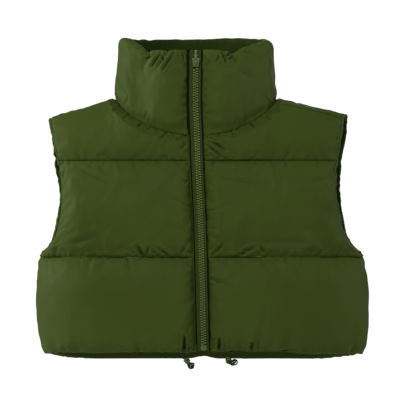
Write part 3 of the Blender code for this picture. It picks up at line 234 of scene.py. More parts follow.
# The lining is the same cloth without the finish, so it looks flatter; it is drawn much darker as painted shade, since
# inside the vest it lies in shadow. This dark finish also paints shadow lines and shaded strips on the tape, bindings,
# collar's inside, pocket ends and shoulder seam.
liningTaffeta = wovenFinish("liningTaffeta", olive["lining"], olive["shell"], 0.7, {
    "thread": 1.1, "threadShade": 0.12, "threadStrength": 0.12, "crumple": 22, "crumpleStrength": 0.5,
    "sheen": 0.0, "sheenTint": "#6f7c46", "gloss": 0.02})
# Bias binding and the hem's tunnel: the shell's cloth, folded and pressed, a little lighter on its folds.
bindingTaffeta = wovenFinish("bindingTaffeta", olive["trim"], olive["shellWorn"], 0.6, {
    "thread": 0.9, "threadShade": 0.12, "threadStrength": 0.15, "crumple": 7, "crumpleStrength": 0.4,
    "sheen": 0.02, "sheenTint": "#8f9c4e", "gloss": 0.03})
# Zip tape is a closely woven matt polyester ribbon. Its herringbone is about 0.5 mm and is drawn at 1 mm.
tapeTwill = wovenFinish("tapeTwill", olive["tape"], olive["trim"], 0.75, {
    "thread": 1.0, "threadShade": 0.2, "threadStrength": 0.3, "crumple": 12, "crumpleStrength": 0.1,
    "sheen": 0.02, "sheenTint": "#6f7c46", "gloss": 0.05})
# Braided elastic: small bright ridges of yarn over rubber, drawn 0.8 mm apart.
elasticBraid = wovenFinish("elasticBraid", olive["cord"], olive["trim"], 0.65, {
    "thread": 0.8, "threadShade": 0.35, "threadStrength": 0.6, "crumple": 5, "crumpleStrength": 0.1,
    "sheen": 0.03, "sheenTint": "#8f9c5e", "gloss": 0.08})
# Spun polyester sewing thread, a little shinier than the cloth.
sewingThread = wovenFinish("sewingThread", olive["thread"], olive["teeth"], 0.5, {
    "thread": 0.4, "threadShade": 0.3, "threadStrength": 0.5, "crumple": 3, "crumpleStrength": 0.1,
    "sheen": 0.1, "sheenTint": "#8f9c5e", "gloss": 0.2})
# Bartacks are sewn closely in a paler thread of the same kind.
bartackThread = wovenFinish("bartackThread", olive["bartack"], olive["thread"], 0.5, {
    "thread": 0.4, "threadShade": 0.2, "threadStrength": 0.4, "crumple": 3, "crumpleStrength": 0.1,
    "sheen": 0.1, "sheenTint": "#a8b488", "gloss": 0.2})
# Moulded acetal teeth: satin, with soft small highlights.
mouldedAcetal = mouldedFinish("mouldedAcetal", olive["teeth"], olive["teethWorn"], 0.42,
                              {"grain": 0.6, "strength": 0.25, "gloss": 0.22})
# Cast zinc under satin paint, rubbed paler on its edges.
paintedZinc = mouldedFinish("paintedZinc", olive["slider"], olive["sliderWorn"], 0.36,
                            {"grain": 0.8, "strength": 0.2, "gloss": 0.4}, coat=0.1)
# Moulded nylon cord locks, satin from a fine-blasted mould.
mouldedNylon = mouldedFinish("mouldedNylon", olive["lock"], olive["lockWorn"], 0.42,
                             {"grain": 0.7, "strength": 0.3, "gloss": 0.25})
print("finishes ready")


# curves through tables, soft noise and small vector helpers
def curveThrough(keys, values):
    # a smooth curve through a table's rows that never overshoots them
    keys, values = np.asarray(keys, float), np.asarray(values, float)
    steps = np.diff(values) / np.diff(keys)
    slopes = np.concatenate([steps[:1], (steps[1:] + steps[:-1]) / 2, steps[-1:]])
    for k in range(1, len(steps)):
        if steps[k - 1] * steps[k] <= 0:
            slopes[k] = 0
        else:
            slopes[k] = math.copysign(min(abs(slopes[k]), 3 * abs(steps[k]), 3 * abs(steps[k - 1])), slopes[k])

    def at(place):
        place = np.clip(place, keys[0], keys[-1])
        k = np.clip(np.searchsorted(keys, place, side="right") - 1, 0, len(keys) - 2)
        span = keys[k + 1] - keys[k]
        t = (place - keys[k]) / span
        return (values[k] * (1 + 2 * t) * (1 - t) ** 2 + slopes[k] * span * t * (1 - t) ** 2
                + values[k + 1] * t * t * (3 - 2 * t) - slopes[k + 1] * span * t * t * (1 - t))

    return at


def curvesThrough(table):
    table = np.array(table, float)
    return [curveThrough(table[:, 0], table[:, k]) for k in range(1, table.shape[1])]


def smoothStep(low, high, value):
    t = np.clip((np.asarray(value, float) - low) / (high - low), 0, 1)
    return t * t * (3 - 2 * t)


def softNoise(x, y, seed):
    # smooth random relief from -1 to 1, with about one hump to each unit
    cells = 64
    table = np.random.default_rng(seed).uniform(-1, 1, (cells, cells))
    x, y = np.broadcast_arrays(np.asarray(x, float), np.asarray(y, float))
    column, row = np.floor(x).astype(int), np.floor(y).astype(int)
    u, v = x - column, y - row
    u, v = u * u * (3 - 2 * u), v * v * (3 - 2 * v)
    left, right, low, high = column % cells, (column + 1) % cells, row % cells, (row + 1) % cells
    near = table[left, low] * (1 - u) + table[right, low] * u
    far = table[left, high] * (1 - u) + table[right, high] * u
    return near * (1 - v) + far * v


def unit(vectors):
    vectors = np.asarray(vectors, float)
    return vectors / np.maximum(np.linalg.norm(vectors, axis=-1, keepdims=True), 1e-12)


def lengthsAlong(points):
    steps = np.linalg.norm(np.diff(points, axis=0), axis=-1)
    return np.concatenate([[0], np.cumsum(steps)])


def evenly(steps):
    return np.linspace(0, 1, steps + 1)


def along(points, shares):
    # points at the given shares of a line's length
    points = np.asarray(points, float)
    lengths = lengthsAlong(points)
    return np.stack([np.interp(shares, lengths / lengths[-1], points[:, k]) for k in range(points.shape[1])], axis=-1)


def smoothSpan(a, b, c, d, steps):
    # points of a smooth curve from b to c, where a and d are the points before and after
    t = np.linspace(0, 1, steps, endpoint=False)[:, None]
    return 0.5 * (2 * b + (c - a) * t + (2 * a - 5 * b + 4 * c - d) * t**2 + (3 * b - a - 3 * c + d) * t**3)


def smoothRoute(points, step):
    # evenly spaced points on a smooth curve through a route's points
    points = np.array(points, float)
    ends = np.concatenate([[2 * points[0] - points[1]], points, [2 * points[-1] - points[-2]]])
    fine = [smoothSpan(*four, 12) for four in zip(ends, ends[1:], ends[2:], ends[3:])]
    fine = np.concatenate(fine + [points[-1:]])
    return along(fine, evenly(round(lengthsAlong(fine)[-1] / step)))


# meshes
def flatGrid(across, lengthwise):
    # a flat pattern, in metres, from places across the cloth and along it
    return np.stack(np.broadcast_arrays(np.asarray(across)[None, :], np.asarray(lengthwise)[:, None]), axis=-1)


def addGrid(patch, points, flat, slot=0, around=False, ring=False):
    # a grid of points with its flat pattern; around joins the last column to the first, ring the last row
    points, flat = np.asarray(points, float), np.asarray(flat, float)
    rows, columns = points.shape[:2]
    start = sum(len(p) for p in patch["points"])
    patch["points"].append(points.reshape(-1, 3))
    r, c = np.indices((rows if ring else rows - 1, columns if around else columns - 1)).reshape(2, -1)
    corners = [(r, c), (r, c + 1), (r + 1, c + 1), (r + 1, c)]
    patch["faces"].append(np.stack([start + (a % rows) * columns + b % columns for a, b in corners], axis=1))
    patch["flat"].append(np.stack([flat[a, b] for a, b in corners], axis=1))
    patch["slots"].append(np.full(len(r), slot))


def newPatch():
    return {"points": [], "faces": [], "flat": [], "slots": []}


def addEndCaps(patch, rings, flat):
    for end in (0, -1):
        middle = np.repeat(rings[end].mean(axis=0)[None], rings.shape[1], axis=0)
        addGrid(patch, np.stack([rings[end], middle]), flat[[end, end]], around=True)


def finishPatch(name, patch, finishes, weld=0.00001, keepSharp=None):
    mesh = bpy.data.meshes.new(name)
    mesh.from_pydata(np.concatenate(patch["points"]).tolist(), [], np.concatenate(patch["faces"]).tolist())
    pattern = mesh.uv_layers.new(name="pattern")
    pattern.data.foreach_set("uv", np.concatenate(patch["flat"]).astype(np.float32).ravel())
    mesh.polygons.foreach_set("material_index", np.concatenate(patch["slots"]).astype(np.int32))
    for finish in finishes:
        mesh.materials.append(finish)
    bm = bmesh.new()
    bm.from_mesh(mesh)
    bmesh.ops.remove_doubles(bm, verts=bm.verts, dist=weld)
    bmesh.ops.recalc_face_normals(bm, faces=bm.faces)
    bm.to_mesh(mesh)
    bm.free()
    mesh.shade_smooth()
    if keepSharp:
        mesh.set_sharp_from_angle(angle=math.radians(keepSharp))
    obj = bpy.data.objects.new(name, mesh)
    addToScene(obj)
    return obj


def settle(obj, body, slot, *nodes):
    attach(obj, body)
    if nodes:
        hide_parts(*nodes)
    return obj


def addPiece(name, patch, finishes, slot, *nodes, body="vest", **how):
    return settle(finishPatch(name, patch, finishes, **how), body, slot, *nodes)


def addTube(patch, path, radius, sides, slot=0, flatten=None, closed=False):
    # a tube along a path of points; flatten gives a second radius across and its direction at each point
    path = np.asarray(path, float)
    count = len(path)
    run = unit(np.roll(path, -1, axis=0) - np.roll(path, 1, axis=0)) if closed else unit(np.gradient(path, axis=0))
    if flatten is None:
        side = np.cross(run[0], [0.31, 0.17, 0.93])  # any direction that no path starts along
        sidewise = []
        for k in range(count):
            side = unit(side - run[k] * (side @ run[k]))
            sidewise.append(side)
        sidewise = np.array(sidewise)
        across = radius
    else:
        across, sidewise = flatten
        sidewise = unit(sidewise - run * np.sum(sidewise * run, axis=1, keepdims=True))
    other = np.cross(run, sidewise)
    turn = np.linspace(0, 2 * math.pi, sides, endpoint=False)
    radius, across = (np.broadcast_to(np.asarray(size, float), (count,))[:, None, None] for size in (radius, across))
    rings = (path[:, None] + other[:, None] * np.cos(turn)[None, :, None] * radius
             + sidewise[:, None] * np.sin(turn)[None, :, None] * across)
    lengths = lengthsAlong(path)
    if closed:
        lengths = np.append(lengths, lengths[-1] + np.linalg.norm(path[0] - path[-1]))
    else:
        rings = np.concatenate([np.repeat(path[:1], sides, axis=0)[None], rings,
                                np.repeat(path[-1:], sides, axis=0)[None]])
        lengths = np.concatenate([[0], lengths, [lengths[-1]]])
    girth = 2 * math.pi * float(np.mean(radius))
    addGrid(patch, rings, flatGrid(np.linspace(0, girth, sides + 1), lengths), slot, around=True, ring=closed)


# drawcords: elastic cord out of the hem, through its lock, round a small loop and back
cordSettings = {
    "diameter": 0.0020,
    "step": 0.0013,
    "sides": 12,
    "knotSize": 0.0017,
    "knotThick": 0.62,  # of the cord's diameter, it is two strands pulled tight
    "lockSides": 40,
    "lockFlutes": 8,
    "fluteDepth": 0.025,
    # routes, places and the lock's profile are in millimetres
    "right": {
        "length": 0.0695,
        "route": [
            (-36, -103, -377.1), (-35.5, -103.1, -379.7), (-33.4, -103.2, -382.1), (-30.1, -103.3, -383.9),
            (-26.2, -103.4, -385.4), (-22.6, -103.5, -387.4), (-20.4, -103.5, -390.1), (-18.2, -103.5, -392.9),
            (-17.5, -103.5, -394.3), (-17.5, -103.6, -396.2), (-17.5, -103.6, -398.1), (-16.5, -103.6, -399.9),
            (-14.6, -103.6, -401.2), (-12.2, -103.6, -401.2), (-10.8, -103.6, -400.5), (-9.7, -103.6, -399.3),
            (-9.2, -103.6, -396.9), (-9.9, -103.6, -394.7), (-11.5, -103.6, -393.4), (-13.3, -103.6, -392.9),
            (-15.2, -103.5, -392.5), (-16.4, -103.5, -391.4), (-18.6, -103.5, -388.7), (-20.8, -103.5, -385.9),
            (-22.9, -103.4, -382.9), (-23.8, -103.2, -380), (-24, -103, -377.1)],
        "lock": ((-19.5, -103.5, -389.4), (0.62, 0.0, -0.785)),
        "knot": (-13.8, -104, -396.1),
    },
    "left": {
        "length": 0.0835,
        "route": [
            (57.8, -103, -377.1), (57.3, -102.9, -379.8), (55.4, -102.6, -382.4), (52.5, -102.2, -384.2),
            (49.2, -101.9, -385.2), (46.2, -101.8, -385.6), (43.4, -102.7, -386.3), (42.2, -105, -387.9),
            (42.5, -107.8, -389.9), (42.9, -110.6, -392), (43.3, -112.1, -393.1), (44.7, -113.9, -394.2),
            (46.7, -115.2, -395), (49.2, -115.9, -395.4), (51.6, -116.2, -395.4), (54.4, -116.3, -394.3),
            (55.6, -116.4, -391.5), (54.4, -116.5, -388.6), (51.5, -116.5, -387.4), (49.2, -116.4, -388.2),
            (47.1, -116, -389.9), (45, -115.1, -390.9), (43.4, -113.5, -390.9), (42.9, -112, -390.1),
            (42.5, -109.2, -388.1), (42.2, -106.4, -386), (43.1, -104.8, -384.3), (44.7, -103.7, -382.4),
            (46.1, -103.2, -379.7), (46.5, -103, -377.1)],
        "lock": ((42.5, -108.5, -389), (0.10, -0.80, -0.59)),
        "knot": (48.4, -116, -391.8),
    },
    # the lock's section from its hole outward, with a waist that the fingers find
    "lockProfile": [
        (2.4, -3.3), (2.7, -3.5), (3.7, -3.5), (4.3, -3.2), (4.6, -2.6), (4.7, -1.8), (4.4, -1), (4.2, 0), (4.4, 1),
        (4.7, 1.8), (4.6, 2.6), (4.3, 3.2), (3.7, 3.5), (2.7, 3.5), (2.4, 3.3)],
}


def makeLock(word, s):
    place, direction = s[word]["lock"]
    place = Vector(inMetres(place))
    turnTo = Vector(direction).to_track_quat("Z", "Y").to_matrix()
    rings = []
    for k in range(s["lockSides"]):
        turn = 2 * math.pi * k / s["lockSides"]
        grip = 1 - s["fluteDepth"] * (1 + math.cos(s["lockFlutes"] * turn)) / 2
        ring = []
        for radius, height in inMetres(s["lockProfile"]).tolist():
            wide = radius * (grip if radius > 0.004 else 1)
            ring.append(tuple(place + turnTo @ Vector((wide * math.cos(turn), wide * math.sin(turn), height))))
        rings.append(ring)
    flat = flatGrid(np.linspace(0, 0.020, len(s["lockProfile"]) + 1), np.linspace(0, 0.028, s["lockSides"] + 1))
    patch = newPatch()
    addGrid(patch, rings, flat, around=True, ring=True)
    return addPiece("cordLock_" + word, patch, [mouldedNylon], "cord_lock", "cord_lock_" + word)


def makeKnot(word, s):
    # an overhand knot that keeps the lock from slipping off its loop
    t = np.linspace(0, 2 * math.pi, 73)[:-1]
    place = np.stack([np.sin(t) + 2 * np.sin(2 * t), -1.1 * np.sin(3 * t), 0.8 * np.cos(t) - 1.6 * np.cos(2 * t)],
                     axis=-1)
    patch = newPatch()
    addTube(patch, inMetres(s[word]["knot"]) + s["knotSize"] * place, s["diameter"] * s["knotThick"], 10, closed=True)
    return addPiece("cordKnot_" + word, patch, [elasticBraid], "drawcord")


def makeCord(word, s):
    route = inMetres(s[word]["route"])
    path = smoothRoute(route, s["step"])
    patch = newPatch()
    addTube(patch, path, s["diameter"] / 2, s["sides"])
    cord = addPiece("drawcord_braid_" + word, patch, [elasticBraid], "drawcord", "drawcord_" + word)
    makeLock(word, s)
    makeKnot(word, s)


for word in ("right", "left"):
    makeCord(word, cordSettings)
print("drawcords made")

# the body form that every row of padding follows
form = {
    "seamGap": 0.0003,
    "clothAtSeam": 0.003,
    "clothAtArmhole": 0.004,
    "clothAtSide": 0.007,
    "chestSeam": -0.0915,
    "pocketSeam": -0.2355,
    "armholeFoot": -0.2265,
    "hemFront": -0.3765,
    "hemBack": -0.3893,
    "hemArch": 0.0036,  # the back hem is drawn up a little at its middle
    "tunnelHeight": 0.012,
    "squareness": 2.5,  # of the level sections, 2 is an ellipse
    "zipOpening": 0.0106,
    "neckHalfWidth": 0.1175,
    "neckHalfDepth": 0.086,
    "neckMiddleY": -0.012,
    "neckDropFront": 0.0545,
    "neckRiseBack": 0.016,
    "neckSideHeight": -0.003,
    "shoulderTip": {-1: (-0.2170, -0.008, -0.0325), 1: (0.2185, -0.008, -0.0262)},
    "shoulderShare": 0.42,
    # in millimetres: height, zip's middle, half-width, half-depths in front and behind,
    # the armhole's edges in front and behind
    "rows": [
        (-390, 5.7, 219, 100, 100, 0, 0), (-364, 5.5, 224, 104, 104, 0, 0), (-340, 4.8, 227.2, 109, 110, 0, 0),
        (-300, 4, 230.3, 112.5, 114.5, 0, 0), (-260, 3, 230.8, 112.5, 114.5, 0, 0),
        (-235.5, 2.4, 231, 112, 114, 0, 0), (-226.5, 2.2, 230.2, 111.8, 113.8, 0, 0),
        (-225.3, 2.1, 230, 111.7, 113.7, 13.5, 13.5), (-222.5, 2.1, 229.6, 111.5, 113.6, 27, 26.5),
        (-217.5, 2, 228.8, 111.3, 113.4, 40, 39), (-210, 1.8, 227.6, 111, 113.2, 50, 48),
        (-195, 1.4, 226.4, 110.5, 113, 57, 54), (-180, 0.9, 226.2, 110, 112.8, 60, 57),
        (-135, -1.3, 226.5, 108, 112, 63.5, 61.5), (-91.5, -3.3, 225.5, 104, 110, 56.5, 56),
        (-50, -4.5, 225, 98.5, 105, 50, 50)],
    # the same for height, zip's middle and the front's depth above the neckline
    "collarRows": [(-54.5, -4.5, 98), (0, -6.6, 97.2), (35, -6.3, 95.8), (75, -6, 93.5)],
    "archWidth": 1.8,
    "neckCurve": 0.8,
    # how far the cut of the neck seam leans: at the zip, the side and the back, in degrees
    "mitre": (12, 40, 25),
}
bodyMiddle, bodySide, bodyFront, bodyBack, holeFront, holeBack = curvesThrough(inMetres(form["rows"]))
collarMiddle, collarDepth = curvesThrough(inMetres(form["collarRows"]))
collarFoot, _, collarFootDepth = inMetres(form["collarRows"][0])
rounding = 2 / form["squareness"]


def zipMiddle(height):
    return np.where(np.asarray(height) > collarFoot, collarMiddle(height), bodyMiddle(height))


def zipDepth(height):
    height = np.asarray(height, float)
    chest = form["chestSeam"]
    share = np.clip((height - chest) / (collarFoot - chest), 0, 1)
    yoke = bodyFront(chest) * (1 - share) + collarFootDepth * share
    return np.where(height > collarFoot, collarDepth(height), np.where(height > chest, yoke, bodyFront(height)))


def aroundShares(angle, power):
    # how far across and how deep a rounded section is at an angle
    angle = np.radians(angle)
    return np.abs(np.sin(angle)) ** power, np.abs(np.cos(angle)) ** power


def angleAcross(distance, halfWidth):
    return math.degrees(math.asin((distance / halfWidth) ** (1 / rounding)))


def angleAtDepth(depth, halfDepth):
    return math.degrees(math.acos((depth / halfDepth) ** (1 / rounding)))


def bodyPoint(side, angle, height):
    # a point of the inner face: angle 0 at the zip, 90 at the side line, 180 at the middle of the back
    angle, height = np.broadcast_arrays(np.asarray(angle, float), np.asarray(height, float))
    across, deep = aroundShares(angle, rounding)
    x = zipMiddle(height) + side * bodySide(height) * across
    y = np.where(angle < 90, -bodyFront(height), bodyBack(height)) * deep
    return np.stack([x, y, height], axis=-1)


def frontRow(side, height, shares, heightAt=None):
    start = angleAcross(form["zipOpening"], bodySide(height))
    angles = np.linspace(start, angleAtDepth(holeFront(height), bodyFront(height)), 120)
    return along(bodyPoint(side, angles, heightAt(angles) if heightAt else height), shares)


def backRow(height, halfShares, heightAt=None):
    angles = np.linspace(180, 180 - angleAtDepth(holeBack(height), bodyBack(height)), 120)
    halves = [along(bodyPoint(side, angles, heightAt(angles) if heightAt else height), halfShares) for side in (-1, 1)]
    return np.concatenate([halves[0][:0:-1], halves[1]])


def hemHeight(angle):
    low, high = form["hemFront"], form["hemBack"]
    arch = form["hemArch"] * np.exp(-(((180 - np.asarray(angle, float)) / form["archWidth"]) ** 2))
    return low + (high - low) * smoothStep(75, 140, angle) + arch


def neckPoint(side, angle):
    s = form
    angle = np.asarray(angle, float)
    across, deep = aroundShares(angle, rounding)
    flat = np.clip(1 - across**2, 0, 1) ** s["neckCurve"]
    z = s["neckSideHeight"] + flat * np.where(angle < 90, -s["neckDropFront"] - s["neckSideHeight"], s["neckRiseBack"])
    y = s["neckMiddleY"] + s["neckHalfDepth"] * np.where(angle < 90, -deep, deep)
    return np.stack([zipMiddle(z) + side * s["neckHalfWidth"] * across, y, z], axis=-1)


def neckAngles(columns, backColumns):
    # angles of the neckline's columns from the zip to the back, closer together beside the zip
    fine = np.linspace(angleAcross(form["zipOpening"], form["neckHalfWidth"]), 90, 400)
    lengths = lengthsAlong(neckPoint(1, fine))
    front = np.interp((np.arange(columns + 1) / columns) ** 1.2 * lengths[-1], lengths, fine)
    fine = np.linspace(90, 180, 200)
    lengths = lengthsAlong(neckPoint(1, fine))
    return front, np.interp(np.linspace(0, lengths[-1], backColumns + 1), lengths, fine)


def neckOutward(side, angle):
    angle = np.asarray(angle, float)
    across, deep = aroundShares(angle, rounding * (form["squareness"] - 1))
    across, deep = across / form["neckHalfWidth"], deep / form["neckHalfDepth"]
    return unit(np.stack([side * across, np.where(angle < 90, -deep, deep), 0 * angle], axis=-1))


def neckMitre(side, angle):
    # the neck seam's direction through the cloth, and the way from it to the collar
    angle = np.asarray(angle, float)
    atZip, atSide, atBack = form["mitre"]
    tilt = np.radians(np.where(angle < 90, atZip + (atSide - atZip) * smoothStep(20, 90, angle),
                               atSide + (atBack - atSide) * smoothStep(90, 180, angle)))[..., None]
    outward = neckOutward(side, angle)
    up = np.array([0.0, 0.0, 1.0])
    return np.cos(tilt) * outward + np.sin(tilt) * up, -np.sin(tilt) * outward + np.cos(tilt) * up


def shoulderLine(side, count):
    tip = np.array(form["shoulderTip"][side])
    tip[0] += zipMiddle(tip[2])
    return np.linspace(neckPoint(side, 90.0), tip, count + 1)


# padding: how it rises from the seams, and what the seams and folds do to it
paddingSettings = {
    "yoke": 0.017,
    "middle": 0.021,
    "lower": 0.021,
    "collar": 0.0185,
    "roundZip": 0.019,  # width over which the padding rounds down to the zip
    "roundSide": 0.045,
    "roundShoulder": 0.028,
    "overShoulder": 0.66,
    "steepestAtNeck": 0.65,
    "rise": [(0, 0), (0.008, 0.13), (0.025, 0.27), (0.06, 0.43), (0.14, 0.69), (0.25, 0.88), (0.38, 0.98),
             (0.52, 1.0), (0.66, 0.95), (0.78, 0.82), (0.88, 0.61), (0.95, 0.36), (1, 0)],
    # share, rise and how far the filling hangs over the hem
    "hemRise": [(0, 0, 0), (0.02, 0.17, 0.0120), (0.05, 0.31, 0.0175), (0.09, 0.46, 0.0215), (0.14, 0.61, 0.0240),
                (0.20, 0.745, 0.0245), (0.27, 0.86, 0.0205),
                 (0.36, 0.94, 0.0125), (0.47, 0.985, 0.0050), (0.60, 0.98, 0),
                (0.74, 0.88, 0), (0.86, 0.66, 0), (0.95, 0.36, 0), (1, 0, 0)],
}
pillowRise = curvesThrough(paddingSettings["rise"])[0]
hemRise, hemHang = curvesThrough(paddingSettings["hemRise"])
heart = np.array([0.0, 0.0, -0.16])


def gridNormals(points):
    normals = unit(np.cross(np.gradient(points, axis=1), np.gradient(points, axis=0)))
    facing = np.sum(normals * (points - heart), axis=-1, keepdims=True)
    return normals * np.where(facing < 0, -1, 1)


def rowDistances(points):
    steps = np.linalg.norm(np.diff(points, axis=1), axis=-1)
    first = np.concatenate([np.zeros((len(points), 1)), np.cumsum(steps, axis=1)], axis=1)
    return first, first[:, -1:] - first


def columnDistances(points):
    low, high = rowDistances(points.transpose(1, 0, 2))
    return low.T, high.T


def edgeRound(distances, width):
    return np.sqrt(1 - np.clip(1 - distances / width, 0, 1) ** 2)


def paddedThickness(inner, rise, pad, firstEdge, lastEdge):
    # seams thin, the middle of the row full; each edge is (cloth there, width that it rounds over)
    first, last = rowDistances(inner)
    seam = form["clothAtSeam"]
    edge = seam + (lastEdge[0] - seam) * smoothStep(0, 1, 1 - last / (lastEdge[1] * 1.5))
    edge = edge + (firstEdge[0] - seam) * smoothStep(0, 1, 1 - first / (firstEdge[1] * 1.5))
    return edge + (pad - seam) * rise * edgeRound(first, firstEdge[1]) * edgeRound(last, lastEdge[1])


def folds(points, lines):
    # folds pressed in along straight lines seen from the front or back: x1, z1, x2, z2, depth, width
    depth = np.zeros(points.shape[:2])
    for x1, z1, x2, z2, deep, width in inMetres(lines):
        run = np.array([x2 - x1, z2 - z1])
        flat = points[..., [0, 2]] - np.array([x1, z1])
        share = np.clip(flat @ run / (run @ run), 0, 1)
        away = np.linalg.norm(flat - share[..., None] * run, axis=-1)
        # a sharp valley with a soft ridge on both sides, shallower toward its ends
        valley = np.exp(-((away / width) ** 1.3)) - 0.42 * np.exp(-(((away - 2.1 * width) / (1.1 * width)) ** 2))
        depth += deep * np.sin(math.pi * (0.12 + 0.76 * share)) * valley
    return depth


def seamGathers(lane, away, s, seed):
    # separate tucks that a seam draws into the cloth, each with its own place, slant, depth, width and length
    rng = np.random.default_rng(seed)
    near = away < s["reach"] * 4
    u, v = lane[near], away[near]
    total = np.zeros(u.shape)
    place = rng.uniform(0, s["spacing"])
    while place < lane.max():
        strong = rng.uniform(0.3, 1) ** 1.6
        length, wide = s["reach"] * rng.uniform(0.4, 1.5), s["width"] * rng.uniform(0.7, 1.6)
        off = np.abs((u - place - rng.uniform(-0.6, 0.6) * v) / (wide * (1 + 0.9 * v / length)))
        total += strong * np.exp(-v / length) * (0.45 * np.exp(-((off - 1.9) / 0.9) ** 2) - np.exp(-off**1.4))
        place += s["spacing"] * rng.uniform(0.4, 1.7)
    rise = np.zeros(lane.shape)
    rise[near] = s["depth"] * total * (1 - np.exp(-v / 0.0015))  # nothing on the seam itself
    return rise


gatherSettings = {
    "seam": {"spacing": 0.0095, "reach": 0.0085, "depth": 0.0026, "width": 0.0021},
    "hem": {"spacing": 0.0120, "reach": 0.0260, "depth": 0.0042, "width": 0.0026},
    "neck": {"spacing": 0.0085, "reach": 0.0085, "depth": 0.0036, "width": 0.0017},
    "collarFoot": {"spacing": 0.0100, "reach": 0.0070, "depth": 0.0018, "width": 0.0019},
    "zip": {"spacing": 0.0085, "reach": 0.0100, "depth": 0.0040, "width": 0.0020},
    "armhole": {"spacing": 0.0080, "reach": 0.0080, "depth": 0.0026, "width": 0.0022},
    "rolling": 0.0012,  # slow waves of the filling under the cloth
    "lumps": 0.0005,
}


def relief(piece):
    # everything small on a padded face, as a rise along its normals
    s = gatherSettings
    inner, seed = piece["inner"], piece["seed"]
    p, pLast = rowDistances(inner)
    q, qLast = columnDistances(inner)
    rise = seamGathers(p, q, s[piece.get("below", "seam")], seed)
    rise += seamGathers(p, qLast, s[piece.get("above", "seam")], seed + 10)
    rise += seamGathers(q, p, s["zip"] if piece["zipEdge"] else s["armhole"], seed + 20)
    rise += seamGathers(q, pLast, s["armhole"], seed + 30)
    inside = edgeRound(np.minimum(np.minimum(q, qLast), np.minimum(p, pLast)), 0.03)
    rise += s["rolling"] * inside * softNoise(p / 0.055 + 0.3 * q / 0.03, q / 0.038, seed + 40)
    rise += s["lumps"] * inside * softNoise(p / 0.021, q / 0.016 + p / 0.06, seed + 50)
    return rise


def puff(piece, thickness):
    inner = piece["inner"]
    floor = 0.6 * form["clothAtSeam"]
    thickness = np.maximum(thickness - folds(inner, piece.get("folds", [])), floor)
    outer = inner + piece["normals"] * thickness[..., None]
    if piece.get("hang") is not None:
        rise = np.maximum(piece["rise"], 0.2)
        outer[..., 2] -= piece["hang"] * np.clip(2.2 * thickness / (thickness.max() * rise), 0, 1)
    piece["outer"] = outer


def shiftEdge(piece, rows, columns, axis, way):
    # half of the gap that keeps two pieces from touching in their seam
    for grid in (piece["inner"], piece["outer"]):
        grid[rows, columns, axis] += way * form["seamGap"] / 2


def openSeams(piece):
    shiftEdge(piece, 0, slice(None), 2, 1)
    shiftEdge(piece, -1, slice(None), 2, -1)


pieces = []


def newPiece(name, node, inner, seed, zipEdge=True, **more):
    piece = {"name": name, "node": node, "inner": inner, "normals": gridNormals(inner), "seed": seed,
             "zipEdge": zipEdge, **more}
    pieces.append(piece)
    return piece


def levelNormals(piece, rows):
    piece["normals"][rows] = unit(piece["normals"][rows] * np.array([1.0, 1.0, 0.0]))


def levelFoot(piece, heights):
    # beside the armhole's foot the padding goes straight out, not down over the seam
    foot = form["armholeFoot"]
    piece["normals"][..., 2] *= smoothStep(foot + 0.004, foot + 0.034, heights)[:, None]
    piece["normals"] = unit(piece["normals"])


def faceZip(piece):
    piece["normals"][:, 0] = unit(piece["normals"][:, 0] * np.array([0.0, 1.0, 0.0]))


# lower row, over the hem
lowerSettings = {
    "rows": 84,
    "columns": 150,
    "sag": {-1: 0.05, 1: 0.16},  # how much further the filling sags away from the zip
    "lift": {-1: 0.04, 1: 0.20},  # and how much less it hangs beside the zip
    "sideAtSeam": 0.0108,  # the sides stay full where the pocket seam ends
    "ease": 0.0042,
    "folds": {  # in millimetres, by side, the back is 0
        -1: [(-22.5, -332, -23.5, -370, 13, 2), (-15, -345, -14, -378, 5, 1.8), (-31, -348, -33, -378, 5, 2.4),
             (-50, -350, -44, -378, 4, 2.6), (-105, -356, -140, -366, 2.8, 4), (-56, -350, -85, -364, 2.2, 3.4),
             (-128, -356, -123, -376, 5, 3), (-172, -354, -165, -376, 4.6, 3), (-195, -345, -208, -362, 3.6, 3)],
        1: [(28.5, -337, 28.5, -370, 12, 2), (76.5, -342, 75, -370, 11, 2.4), (17, -345, 17.5, -378, 5, 1.8),
            (50, -356, 53, -378, 4.6, 2.4), (80, -370, 135, -350, 3.4, 3.6), (110, -372, 150, -358, 3, 3.2),
            (135, -360, 160, -370, 2.4, 3.2), (175, -352, 180, -376, 5, 3), (205, -348, 212, -364, 3.6, 2.8)],
        0: [(-60, -350, -56, -390, 8, 3.4), (45, -355, 48, -390, 8, 3.4), (130, -345, 100, -385, 4, 4),
            (-130, -350, -115, -385, 4, 4), (10, -365, 6, -390, 7, 3), (-20, -245, -50, -262, 2.2, 3.6),
            (170, -350, 176, -385, 6, 3.2), (-180, -352, -174, -385, 6, 3.2)]},
}


def lowRow(rowMaker, shares, angle):
    # rows of points from the hem's curved top edge up to the level pocket seam
    s = form
    rows = []
    for share in evenly(lowerSettings["rows"]) ** 1.15:

        def heightAt(angle):
            bottom = hemHeight(angle) + s["tunnelHeight"]
            return bottom + share * (s["pocketSeam"] - bottom)

        rows.append(rowMaker(heightAt(angle), shares, heightAt))
    return np.array(rows)


def sideEase(fromSide, share):
    # the padding rises more slowly from the pocket seam at the sides
    inRow = smoothStep(0.35, 0.75, share) * (1 - smoothStep(0.86, 1, share))
    return lowerSettings["ease"] * (1 - smoothStep(0.01, 0.07, fromSide)) * inRow


